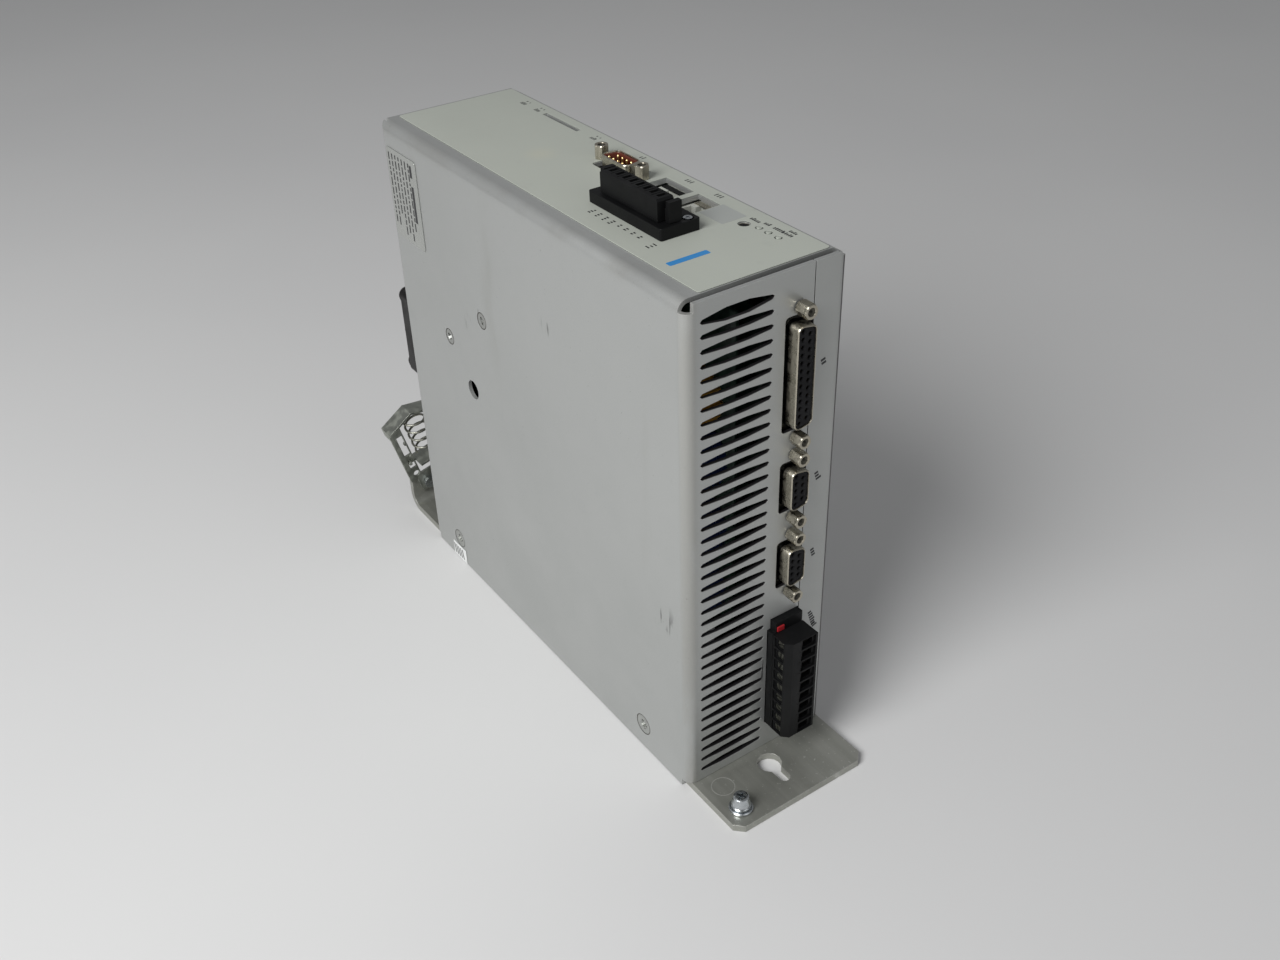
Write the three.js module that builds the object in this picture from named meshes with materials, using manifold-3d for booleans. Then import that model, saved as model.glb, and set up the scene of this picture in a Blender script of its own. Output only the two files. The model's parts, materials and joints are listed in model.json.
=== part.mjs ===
// Servo drive in a folded sheet-metal housing: mounting plate with a rear shield clamp, louvred front
// end with a column of D-sub sockets and a nine-pole plug, control connectors on top, and a 40 mm fan
// on the rear end. Millimetres. +X runs to the right of the louvred end, +Y from that end to the fan,
// +Z up off the mounting plate. The group's origin is the centre of the housing's footprint, on the
// underside of the mounting plate.
import * as THREE from 'three';
import { mergeVertices } from 'three/addons/utils/BufferGeometryUtils.js';
import Module from 'manifold-3d';

const wasm = await Module();
wasm.setup();

// ---- Driving sizes -----------------------------------------------------------------------------
const BOX_W = 63.5;              // housing width
const BOX_L = 200;               // housing length, front end to rear end
const BOX_H = 197.5;             // housing height above the plate
const SHEET_T = 1.5;             // folded steel sheet
const BEND_R = 3.8;              // outside radius of the folds
const LIP_RUN = 4;               // width of the sloping lip along the cover's right top edge
const LIP_DROP = 2.4;            // how far that lip slopes down
const STRIP_W = 13.9;            // end strip of the chassis, right of the seam
const SEAM_GAP = 0.4;            // gap between folded cover and chassis
const TOP_START = 3.6;           // front edge of the top sheet, behind the front end's face
const END_TOP = 0.3;             // upper edge of the front end, below the housing top
const CORNER_W = 3.2;            // corner notch between the folds
const CORNER_H = 3.5;
const CLEAR = 0.3;               // gap between pieces that rest on each other
const FILM_GAP = 0.08;           // glue line under films and labels
const FILM_T = 0.25;             // printed film
const SEGMENTS = 3;              // curve divisions in a bend, two facets each

const PLATE_T = 3;               // mounting plate
const PLATE_LEFT = 1.8;          // plate edge behind the cover's left wall
const PLATE_RIGHT = 1.3;         // plate edge inside the chassis's right wall
const PLATE_FRONT = 27.2;          // plate in front of the housing
const PLATE_REAR = 29;           // outer face of the rear lip, behind the housing
const PLATE_LIP_H = 12.5;        // top of the rear lip above the plate
const PLATE_BEND_R = 8;          // outside radius of the lip's bend
const PLATE_CHAMFER = 3.3;

const KEYHOLE_X = 31.5;          // keyhole centre line
const KEYHOLE_Y = -8.3;
const KEYHOLE_HEAD_R = 4.7;
const KEYHOLE_SLOT_W = 4.4;
const KEYHOLE_SLOT_Y = -17;
const EARTH_X = 9.1;             // protective-earth screw
const EARTH_Y = -19.3;
const EARTH_HOLE_R = 2.2;

const LOUVRE_PITCH = 5;
const LOUVRE_LEFT = 5.5;
const LOUVRE_RIGHT = 33.8;
const LOUVRE_H = 3.2;            // slot height in the middle
const LOUVRE_FIRST_H = 4.9;      // the uppermost slot is taller
const LOUVRE_END_H = 1.7;        // slot height at its ends
const LOUVRE_TOP = 7.2;          // first slot below the housing top

const CONN_OFFSET = 5.6;         // D-sub centre line, left of the seam
const DSUB_SHELL_H = 7.9;
const DSUB_FLANGE_H = 12.5;
const DSUB_FLANGE_T = 1;
const DSUB_SHELL_OUT = 6;        // shell height above its flange
const DSUB_SHELL_T = 0.5;
const DSUB_WINDOW = 1.8;         // panel window around a shell
const POST_AF = 4.75;            // hexagonal jack post across flats
const POST_OUT = 5.4;            // jack post above the panel
const POST_STUD_R = 1.4;
const DSUB_9 = { shell: 16.6, post: 24.99, flange: 30.81 };
const DSUB_25 = { shell: 38.5, post: 47.04, flange: 53.04 };
const X1_BELOW_TOP = 37.3;       // 25-way socket centre
const X10_BELOW_TOP = 80.2;      // upper 9-way socket centre
const X11_BELOW_TOP = 112.6;     // lower 9-way socket centre

const POLE_PITCH = 5.08;         // front power plug
const POLE_COUNT = 9;
const X9_BOTTOM = 12;
const X9_W = 14.1;               // plug width, left of the seam
const X9_HEADER_OUT = 2.8;       // header in front of the panel
const X9_HEADER_OVER = 4.3;      // ledge of the header above the plug
const X9_LEDGE_IN = 1.4;         // the ledge is this much narrower than the plug at its left
const X9_PLUG_OUT = 11.6;        // plug in front of the panel
const X9_TONGUE = 9;             // length of the plug inside its header
const X9_WALL = 1.4;             // header wall around the tongue
const X9_DEEP = 16;              // header behind the panel
const X9_BEVEL = 2.2;            // bevel along the plug's left front edge

const X40_PITCH = 3.81;          // control terminal on top
const X40_POLES = 8;
const X40_X = 19.7;
const X40_W = 15.5;
const X40_Y = 38.9;
const X40_FLANGE = 5.4;          // screw flange past the end poles
const X40_BASE_H = 4.1;
const X40_PLUG_H = 7.4;
const X40_PLUG_X = 21.7;
const X40_PLUG_W = 6.4;
const X40_TONGUE = 7;
const X40_WALL = 0.7;            // base wall around the plug's tongue
const X40_BODY_BELOW = 11;       // base body under the housing top
const X40_SCREW_IN = 2.4;        // flange screw from the end of the base

const X5_X = 45.2;               // 9-way plug connector on top
const X5_Y = 98.2;

const JACK_RIGHT = 52.1;         // right edge of the jack windows on top
const X18 = { y: 65.5, long: 15.4, wide: 13.4, port: 11.7, tab: 6 };
const X19 = { y: 51, long: 11.3, wide: 12.8, port: 8.6, tab: 4.4 };
const JACK_DEEP = 14;
const JACK_SUNK = 0.6;           // jack top under the panel
const JACK_PORT_W = 7.2;
const JACK_TAB_W = 2.6;
const JACK_WALL = 1.5;

const CARD_X = 53.8;             // memory-card slot on top
const CARD_Y = 151.75;
const CARD_LONG = 24;
const CARD_GAP = 1.6;
const CARD_SOCKET_DEEP = 18;
const RESET_X = 48.9;
const RESET_Y = 34;
const RESET_R = 1.9;             // reset hole
const RESET_TRAVEL = 0.8;
const RESET_STEM_BELOW = 9;      // lower end of the button under the housing top
const RESET_SWITCH_H = 5;
const LED_X = 50.6;
const LED_Y = [19, 23.9, 28.5];
const LED_R = 1.1;

const BOARD_T = 1.6;
const CONTROL_BOARD_X = 55.4;
const POWER_BOARD_X = 33;
const POWER_BOARD_Z = 50;
const CAPACITOR_R = 12.5;
const CAPACITOR_COUNT = 3;
const CAPACITOR_Y = 33;
const CAPACITOR_Z = 62;          // lowest capacitor
const CAPACITOR_PITCH = 28;
const CHOKE_R = 11;
const CHOKE_BORE_R = 5;
const CHOKE_W = 18.7;
const CHOKE_BELOW_TOP = 55;

const FAN_SIZE = 40;
const FAN_DEEP = 10;
const FAN_SCREW_PITCH = 32;
const FAN_X = 22.9;
const FAN_Z = 99.5;
const FAN_BORE_R = 18.6;
const FAN_HUB_R = 11;
const FAN_TIP_GAP = 0.9;
const FAN_BLADES = 7;
const GUARD_T = 1.4;
const DOME_H = 2.6;              // rounded heads of the fan screws
const DOME_R = 3.6;

const CLAMP_T = 1.2;             // shield clamp sheet
const CLAMP_W = 27;
const CLAMP_SHOULDER = 31.7;     // height of the clamp's shoulders
const CLAMP_PEAK = 36.6;
const CLAMP_LEG = 6.3;
const HOOD_REAR = 6;             // roof behind the clamp's sheet
const HOOD_FRONT = 2;            // roof in front of it
const HOOD_CHEEK = 5;            // height of the roof's side cheeks
const CLAMP_LEAN = 15;           // degrees towards -X, about its foot
const CLAMP_X = 1;
const CLAMP_SUNK = 0.4;          // foot of the clamp below the lip's top
const CLAMP_SILL = 2.2;          // bar that the cable lies on
const SLOT_LOW = 7;
const SLOT_HIGH = 27;            // leaves the saddle's tabs their 13 mm of lift
const SLOT_IN = 2.6;
const SLOT_W = 3;
const SADDLE_A = 9;              // underside of the pressure saddle at rest
const SADDLE_DEEP = 11;
const SADDLE_LUG = 5;            // height of the lugs that run in the slots

const SPRING_R = 5.2;
const SPRING_WIRE_R = 0.55;
const SPRING_TURNS = 4;

// ---- Derived planes ----------------------------------------------------------------------------
const SEAM_X = BOX_W - STRIP_W;
const CONN_X = SEAM_X - CONN_OFFSET;
const FILM_Z = BOX_H + FILM_GAP;
const FILM_TOP = FILM_Z + FILM_T;
const INSIDE_TOP = BOX_H - SHEET_T;
const FLOOR_Z = CLEAR / 2;
const REAR = BOX_L;
const X9_H = POLE_COUNT * POLE_PITCH - 0.2;
const X40_L = (X40_POLES - 1) * X40_PITCH + 2 * (X40_FLANGE + X40_PITCH / 2);
const RAD = Math.PI / 180;

// ---- Materials ---------------------------------------------------------------------------------
function paint(color, roughness, metalness) {
  return new THREE.MeshStandardMaterial({ color, roughness, metalness });
}
const GREY_PAINT = paint(0xa9aeab, 0.45, 0.35);
const ALUMINIUM = paint(0x9aa096, 0.4, 0.9);
const NICKEL = paint(0xb9b6a6, 0.3, 1);
const STEEL = paint(0xa8a8a4, 0.35, 1);
const BLACK = paint(0x191b1c, 0.5, 0);
const BROWN = paint(0x5b2f28, 0.5, 0);
const FILM = paint(0xb9c0b8, 0.5, 0);
const PAPER = paint(0xd9dad8, 0.7, 0);
const CLEAR_LABEL = paint(0xb4bab8, 0.2, 0);
const BOARD_GREEN = paint(0x1f4d33, 0.5, 0);
const CAPACITOR_BLUE = paint(0x1d2a55, 0.4, 0);
const CHOKE_YELLOW = paint(0xb98a2c, 0.5, 0);
const JACK_GREY = paint(0xc2c4bd, 0.5, 0);
const LENS = paint(0xc9cec6, 0.2, 0);

// ---- Solids ------------------------------------------------------------------------------------
const add = (...parts) => parts.reduce((sum, part) => sum.add(part));
const subtract = (body, ...cuts) => cuts.reduce((rest, cut) => rest.subtract(cut), body);

function toSolid(geometry, matrix = new THREE.Matrix4()) {
  const bare = geometry.index ? geometry.toNonIndexed() : geometry.clone();
  bare.deleteAttribute('normal');
  bare.deleteAttribute('uv');
  bare.applyMatrix4(matrix);
  const merged = mergeVertices(bare, 1e-4);
  const vertProperties = new Float32Array(merged.attributes.position.array);
  const triVerts = new Uint32Array(merged.index.array);
  return new wasm.Manifold(new wasm.Mesh({ numProp: 3, vertProperties, triVerts }));
}

function box([x0, y0, z0], [x1, y1, z1]) {
  const middle = new THREE.Matrix4().makeTranslation((x0 + x1) / 2, (y0 + y1) / 2, (z0 + z1) / 2);
  return toSolid(new THREE.BoxGeometry(x1 - x0, y1 - y0, z1 - z0), middle);
}

// Straight prisms from a flat outline: the outline's axes are named, and the prism runs from low to high.
const BASES = {
  XY: [[1, 0, 0], [0, 1, 0], [0, 0, 1]],
  YZ: [[0, 1, 0], [0, 0, 1], [1, 0, 0]],
  XZ: [[1, 0, 0], [0, 0, 1], [0, -1, 0]],
};

function prism(shape, plane, low, high, curveSegments = SEGMENTS) {
  const depth = high - low;
  const geometry = new THREE.ExtrudeGeometry(shape, { depth, bevelEnabled: false, curveSegments });
  const [u, v, w] = BASES[plane].map((axis) => new THREE.Vector3(...axis));
  const start = plane === 'XZ' ? high : low;
  const matrix = new THREE.Matrix4().makeBasis(u, v, w);
  const along = { XY: [0, 0, start], YZ: [start, 0, 0], XZ: [0, start, 0] }[plane];
  matrix.setPosition(...along);
  return toSolid(geometry, matrix);
}

function outline(points) {
  return new THREE.Shape(points.map(([u, v]) => new THREE.Vector2(u, v)));
}

// Rectangle with its own radius at each corner, from the low corner anticlockwise.
function rounded(u0, v0, u1, v1, [r0, r1, r2, r3]) {
  const shape = new THREE.Shape();
  shape.moveTo(u0 + r0, v0);
  shape.lineTo(u1 - r1, v0);
  if (r1) shape.absarc(u1 - r1, v0 + r1, r1, -Math.PI / 2, 0, false);
  shape.lineTo(u1, v1 - r2);
  if (r2) shape.absarc(u1 - r2, v1 - r2, r2, 0, Math.PI / 2, false);
  shape.lineTo(u0 + r3, v1);
  if (r3) shape.absarc(u0 + r3, v1 - r3, r3, Math.PI / 2, Math.PI, false);
  shape.lineTo(u0, v0 + r0);
  if (r0) shape.absarc(u0 + r0, v0 + r0, r0, Math.PI, 1.5 * Math.PI, false);
  return shape;
}

const even = (r) => [r, r, r, r];

function disc(u, v, r) {
  const shape = new THREE.Shape();
  shape.absarc(u, v, r, 0, 2 * Math.PI, false);
  return shape;
}

function cylinder(plane, u, v, r, low, high, sides = 20) {
  return prism(disc(u, v, r), plane, low, high, sides / 2);
}

function cone(plane, u, v, rLow, rHigh, low, high, sides = 20) {
  const geometry = new THREE.CylinderGeometry(rHigh, rLow, high - low, sides);
  const place = {
    XY: () => new THREE.Matrix4().makeRotationX(Math.PI / 2).setPosition(u, v, (low + high) / 2),
    YZ: () => new THREE.Matrix4().makeRotationZ(-Math.PI / 2).setPosition((low + high) / 2, u, v),
    XZ: () => new THREE.Matrix4().setPosition(u, (low + high) / 2, v),
  };
  return toSolid(geometry, place[plane]());
}

function hexagon(plane, u, v, acrossFlats, low, high) {
  const r = acrossFlats / Math.sqrt(3);
  const corner = (angle) => [u + r * Math.cos(angle * RAD), v + r * Math.sin(angle * RAD)];
  return prism(outline([0, 60, 120, 180, 240, 300].map(corner)), plane, low, high);
}

// Lens-shaped louvre outline, tall in the middle and rounded at its ends.
function louvre(left, right, z, high) {
  const half = LOUVRE_END_H / 2;
  const middle = (left + right) / 2;
  const bulge = high - half;
  const shape = new THREE.Shape();
  shape.moveTo(left + half, z - half);
  shape.quadraticCurveTo(middle, z - bulge, right - half, z - half);
  shape.lineTo(right, z);
  shape.lineTo(right - half, z + half);
  shape.quadraticCurveTo(middle, z + bulge, left + half, z + half);
  shape.lineTo(left, z);
  return shape;
}

// D-shaped outline with its long side along v, widest at the low-u side.
function dShape(u, v, long, high) {
  const slant = high * Math.tan(10 * RAD);
  const [wide, narrow] = [long / 2, long / 2 - slant];
  const cut = 1.6;
  return outline([
    [u - high / 2, v + wide - cut], [u - high / 2, v - wide + cut], [u - high / 2 + cut, v - wide],
    [u + high / 2 - cut, v - narrow - 0.3], [u + high / 2, v - narrow + cut],
    [u + high / 2, v + narrow - cut], [u + high / 2 - cut, v + narrow + 0.3],
    [u - high / 2 + cut, v + wide],
  ].reverse());
}

const drive = new THREE.Group();
drive.position.set(-BOX_W / 2, -BOX_L / 2, PLATE_T);

function piece(name, solid, material, parent = drive) {
  const { vertProperties, triVerts } = solid.getMesh();
  const geometry = new THREE.BufferGeometry();
  geometry.setAttribute('position', new THREE.BufferAttribute(new Float32Array(vertProperties), 3));
  geometry.setIndex(new THREE.BufferAttribute(new Uint32Array(triVerts), 1));
  geometry.computeVertexNormals();
  const mesh = new THREE.Mesh(geometry, material);
  mesh.name = name;
  parent.add(mesh);
  return mesh;
}

// ---- Where the connectors stand: the panels, films and connectors all read these lists ---------
const frontSockets = [
  { name: 'x1', kind: DSUB_25, z: BOX_H - X1_BELOW_TOP },
  { name: 'x10', kind: DSUB_9, z: BOX_H - X10_BELOW_TOP },
  { name: 'x11', kind: DSUB_9, z: BOX_H - X11_BELOW_TOP },
];
const jacks = [{ name: 'x18', ...X18 }, { name: 'x19', ...X19 }];
const x40 = {
  middle: X40_Y + X40_L / 2,
  body: X40_POLES * X40_PITCH + 1.8,
  bottom: FILM_TOP + FILM_GAP,
};
const x9 = { left: SEAM_X - X9_W, right: SEAM_X - SEAM_GAP, bottom: X9_BOTTOM, top: X9_BOTTOM + X9_H };
const coverScrews = [
  { name: 'cover_screw_front', y: 28.9, z: 8.8, r: 4.2 },
  { name: 'cover_screw_rear', y: BOX_L - 25.2, z: 9.2, r: 4.2 },
  { name: 'board_screw_upper', y: 129.3, z: 139.2, r: 3.2 },
  { name: 'board_screw_lower', y: 159, z: 120, r: 3.2 },
];
const SIDE_HOLE = { y: 143, z: 102.7, r: 4.1 };
const fanScrews = [[-1, -1], [1, -1], [1, 1], [-1, 1]].map(([i, j]) => ({
  x: FAN_X + (i * FAN_SCREW_PITCH) / 2,
  z: FAN_Z + (j * FAN_SCREW_PITCH) / 2,
}));

// Window and jack-post holes that a panel needs in front of a D-sub connector.
function dsubCuts(plane, u, v, kind, low, high, grow = 0) {
  const halfU = DSUB_SHELL_H / 2 + DSUB_WINDOW + grow;
  const halfV = kind.shell / 2 + DSUB_WINDOW + grow;
  const window = prism(rounded(u - halfU, v - halfV, u + halfU, v + halfV, even(1.5)), plane, low, high, 2);
  const holes = [-1, 1].map((side) =>
    cylinder(plane, u, v + (side * kind.post) / 2, POST_STUD_R + CLEAR + grow, low, high, 12));
  return [window, ...holes];
}

// Openings through the top for its connectors, cut from the sheet and, a little larger, from the film.
function topCuts(low, high, grow) {
  const jackCuts = jacks.map(({ y, long, wide }) => box(
    [JACK_RIGHT - wide - grow, y - grow, low],
    [JACK_RIGHT + grow, y + long + grow, high]));
  const terminal = box(
    [X40_X + 1 - grow, X40_Y + 1.5 - grow, low],
    [X40_X + X40_W - 1 + grow, X40_Y + X40_L - 1.5 + grow, high]);
  const card = box(
    [CARD_X - CARD_GAP / 2 - grow, CARD_Y - CARD_LONG / 2 - grow, low],
    [CARD_X + CARD_GAP / 2 + grow, CARD_Y + CARD_LONG / 2 + grow, high]);
  const lights = LED_Y.map((y) => cylinder('XY', LED_X, y, LED_R + grow, low, high, 12));
  const reset = cylinder('XY', RESET_X, RESET_Y, RESET_R + grow, low, high, 16);
  const connector = dsubCuts('XY', X5_X, X5_Y, DSUB_9, low, high, grow);
  return [...jackCuts, terminal, card, ...lights, reset, ...connector];
}

// ---- Mounting plate ----------------------------------------------------------------------------
const lipFace = BOX_L + PLATE_REAR;
const clampFoot = { x: CLAMP_X, z: PLATE_LIP_H - CLAMP_SUNK };
const clampRivet = { c: 8, a: -4.5 };

function clampPoint(c, a) {
  const lean = CLAMP_LEAN * RAD;
  return [
    clampFoot.x + c * Math.cos(lean) - a * Math.sin(lean),
    clampFoot.z + c * Math.sin(lean) + a * Math.cos(lean),
  ];
}

function mountingPlate() {
  const [left, right] = [PLATE_LEFT, BOX_W - PLATE_RIGHT];
  const side = new THREE.Shape();
  const inner = PLATE_BEND_R - PLATE_T;
  side.moveTo(-PLATE_FRONT, -PLATE_T);
  side.lineTo(lipFace - PLATE_BEND_R, -PLATE_T);
  side.absarc(lipFace - PLATE_BEND_R, PLATE_BEND_R - PLATE_T, PLATE_BEND_R, -Math.PI / 2, 0, false);
  side.lineTo(lipFace, PLATE_LIP_H);
  side.lineTo(lipFace - PLATE_T, PLATE_LIP_H);
  side.absarc(lipFace - PLATE_BEND_R, inner, inner, 0, -Math.PI / 2, true);
  side.lineTo(-PLATE_FRONT, 0);
  const sheet = prism(side, 'YZ', left, right);

  const c = PLATE_CHAMFER;
  const past = 1;
  const corners = [
    [[left - past, -PLATE_FRONT - past], [left + c + past, -PLATE_FRONT - past],
      [left - past, -PLATE_FRONT + c + past]],
    [[right + past, -PLATE_FRONT - past], [right + past, -PLATE_FRONT + c + past],
      [right - c - past, -PLATE_FRONT - past]],
  ].map((points) => prism(outline(points), 'XY', -PLATE_T - past, past));
  const keyhole = add(
    cylinder('XY', KEYHOLE_X, KEYHOLE_Y, KEYHOLE_HEAD_R, -PLATE_T - 1, 1, 12),
    box([KEYHOLE_X - KEYHOLE_SLOT_W / 2, KEYHOLE_SLOT_Y, -PLATE_T - 1],
      [KEYHOLE_X + KEYHOLE_SLOT_W / 2, KEYHOLE_Y, 1]),
    cylinder('XY', KEYHOLE_X, KEYHOLE_SLOT_Y, KEYHOLE_SLOT_W / 2, -PLATE_T - 1, 1, 10));
  const [rivetX, rivetZ] = clampPoint(clampRivet.c, clampRivet.a);
  return subtract(sheet, ...corners, keyhole,
    cylinder('XY', EARTH_X, EARTH_Y, EARTH_HOLE_R, -PLATE_T - 1, 1, 12),
    cylinder('XZ', rivetX, rivetZ, 1.7, lipFace - PLATE_T - 1, lipFace + 1, 12));
}
piece('mounting_plate', mountingPlate(), ALUMINIUM);

// ---- Folded cover: left side, top, louvred front end and fan end -------------------------------
const SKIRT_Z = -PLATE_T + CLEAR;      // the left wall laps down over the plate's edge

// Cross-section of the cover, drawn t inside its outer face; it runs past the bottom and the right side.
function coverProfile(t, bottom, right) {
  const shape = new THREE.Shape();
  const r = BEND_R - t;
  const slope = LIP_DROP / LIP_RUN;
  const top = BOX_H - t;
  shape.moveTo(t, bottom);
  shape.lineTo(right, bottom);
  shape.lineTo(right, top - (right - BOX_W + LIP_RUN) * slope);
  shape.lineTo(BOX_W - LIP_RUN, top);
  shape.lineTo(BEND_R, top);
  shape.absarc(BEND_R, BOX_H - BEND_R, r, Math.PI / 2, Math.PI, false);
  return shape;
}

function outerCover() {
  const past = 9;
  const radii = (t) => [BEND_R - t, 0, 0, BEND_R - t];
  const outer = prism(rounded(0, 0, BOX_W, BOX_L, radii(0)), 'XY', SKIRT_Z, BOX_H)
    .intersect(prism(coverProfile(0, SKIRT_Z, BOX_W), 'XZ', 0, BOX_L));
  const t = SHEET_T;
  const innerProfile = prism(coverProfile(t, SKIRT_Z - 2, BOX_W + past), 'XZ', -1, BOX_L + 1);
  const inner = prism(rounded(t, t, BOX_W + past, BOX_L - t, radii(t)), 'XY', SKIRT_Z - 3, BOX_H)
    .intersect(innerProfile);
  const openRight = innerProfile.intersect(
    box([SEAM_X - SEAM_GAP / 2, -2, SKIRT_Z - 3], [BOX_W + past, BOX_L + 2, BOX_H]));
  const overPlate = box([t, -1, SKIRT_Z - 3], [BOX_W + past, BOX_L + 1, FLOOR_Z]);
  const notches = [-1, BOX_L - BEND_R - 0.5].map((y) =>
    box([-1, y, SKIRT_Z - 3], [t + 1, y + BEND_R + 1.5, FLOOR_Z]));
  const rearRelief = box([BEND_R - 1.4, BOX_L - 2.6, BOX_H - BEND_R], [BEND_R - 0.2, BOX_L + 1, BOX_H + 1]);
  const frontRelief = [
    box([-1, -1, BOX_H - CORNER_H], [CORNER_W, TOP_START, BOX_H + 1]),
    box([CORNER_W - 1, t, INSIDE_TOP - 1], [BOX_W + 1, TOP_START, BOX_H + 1]),
    box([CORNER_W - 1, -1, BOX_H - END_TOP], [BOX_W + 1, TOP_START, BOX_H + 1]),
    box([SEAM_X - SEAM_GAP / 2, -1, INSIDE_TOP - LIP_DROP - 1], [BOX_W + 1, TOP_START, BOX_H + 1]),
  ];


  const louvres = [];
  const first = BOX_H - LOUVRE_TOP;
  for (let z = first; z > LOUVRE_H; z -= LOUVRE_PITCH) {
    const high = z === first ? LOUVRE_FIRST_H : LOUVRE_H;
    louvres.push(prism(louvre(LOUVRE_LEFT, LOUVRE_RIGHT, z, high), 'XZ', -1, t + 1, 3));
  }
  const sockets = frontSockets.flatMap(({ kind, z }) => dsubCuts('XZ', CONN_X, z, kind, -1, t + 1));
  const header = box([x9.left - CLEAR, -1, x9.bottom - CLEAR], [SEAM_X + 1, t + 1, x9.top + CLEAR]);
  const ledge = box([x9.left + X9_LEDGE_IN - CLEAR, -1, x9.top],
    [SEAM_X + 1, t + 1, x9.top + X9_HEADER_OVER + CLEAR]);
  const fanHoles = [cylinder('XZ', FAN_X, FAN_Z, FAN_BORE_R - 0.8, REAR - t - 1, REAR + 1, 32),
    ...fanScrews.map(({ x, z }) => cylinder('XZ', x, z, 1.9, REAR - t - 1, REAR + 1, 10))];
  const screwHoles = coverScrews.map(({ y, z, r }) =>
    cone('YZ', y, z, r + CLEAR + 0.02, 1.9 + CLEAR, -0.02, 2.2, 20));
  const sideHole = cylinder('YZ', SIDE_HOLE.y, SIDE_HOLE.z, SIDE_HOLE.r, -1, t + 1, 20);
  return subtract(outer, inner, openRight, overPlate, ...notches, rearRelief, ...frontRelief, ...louvres,
    ...sockets, header, ledge, ...fanHoles, ...screwHoles, sideHole,
    ...topCuts(INSIDE_TOP - 1, BOX_H + 1, 0));
}
piece('outer_cover', outerCover(), GREY_PAINT);

// ---- Chassis: right side, floor and the end strips right of the seam ---------------------------
const studs = [[20, 22], [BOX_L - 28, 22], [20, BOX_H - 20], [BOX_L - 28, BOX_H - 20]];

function chassis() {
  const t = SHEET_T;
  const left = SEAM_X + SEAM_GAP / 2;
  const under = t + CLEAR;
  const profile = (below) => outline([[left, FLOOR_Z], [BOX_W, FLOOR_Z], [BOX_W, BOX_H - LIP_DROP - below],
    [BOX_W - LIP_RUN, BOX_H - below], [left, BOX_H - below]]);
  const outer = prism(rounded(left, 0, BOX_W, BOX_L, [0, BEND_R, BEND_R, 0]), 'XY', FLOOR_Z, BOX_H)
    .intersect(add(prism(profile(under), 'XZ', 0, BOX_L), prism(profile(END_TOP), 'XZ', 0, t)));
  const inner = prism(rounded(left - 5, t, BOX_W - t, BOX_L - t, [0, BEND_R - t, BEND_R - t, 0]),
    'XY', -1, BOX_H + 1);
  const fold = BEND_R - under;
  const floor = prism(rounded(under, under, BOX_W - t / 2, BOX_L - under, [fold, 0, 0, fold]), 'XY',
    FLOOR_Z, FLOOR_Z + t);
  const rail = box([POWER_BOARD_X + BOARD_T + CLEAR, BOX_L - 78, FLOOR_Z],
    [POWER_BOARD_X + BOARD_T + CLEAR + t, BOX_L - 38, 84]);
  const pillars = studs.map(([y, z]) =>
    cylinder('YZ', y, z, 3, CONTROL_BOARD_X + BOARD_T + CLEAR, BOX_W - t / 2, 12));
  return add(subtract(outer, inner), floor, rail, ...pillars);
}
piece('chassis', chassis(), GREY_PAINT);

// ---- Film on the top, label and seal on the left side ------------------------------------------
function topFilm() {
  const sheet = prism(rounded(8.1, TOP_START + 0.5, BOX_W - 4.5, BOX_L - 1.5, even(1.2)), 'XY',
    FILM_Z, FILM_TOP, 4);
  return subtract(sheet, ...topCuts(FILM_Z - 1, FILM_TOP + 1, 0.3));
}
piece('top_film', topFilm(), FILM);

const onSide = [-FILM_GAP - FILM_T, -FILM_GAP];
const labelTop = BOX_H - 8.8;
const labelEdge = BOX_L - BEND_R - 0.4;
piece('side_label', prism(rounded(labelEdge - 24.6, labelTop - 36.8, labelEdge, labelTop, even(1.5)),
  'YZ', ...onSide, 3), CLEAR_LABEL);
piece('seal_sticker', box([onSide[0], BOX_L - 30, SKIRT_Z], [onSide[1], BOX_L - 18.5, 4.6]), PAPER);

// ---- Countersunk screws in the left side -------------------------------------------------------
for (const { name, y, z, r } of coverScrews) {
  const head = cone('YZ', y, z, r, 1.9, 0.05, 2.2, 20);
  piece(name, add(head, cylinder('YZ', y, z, 1.6, 2, 7, 10)), STEEL);
}

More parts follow.
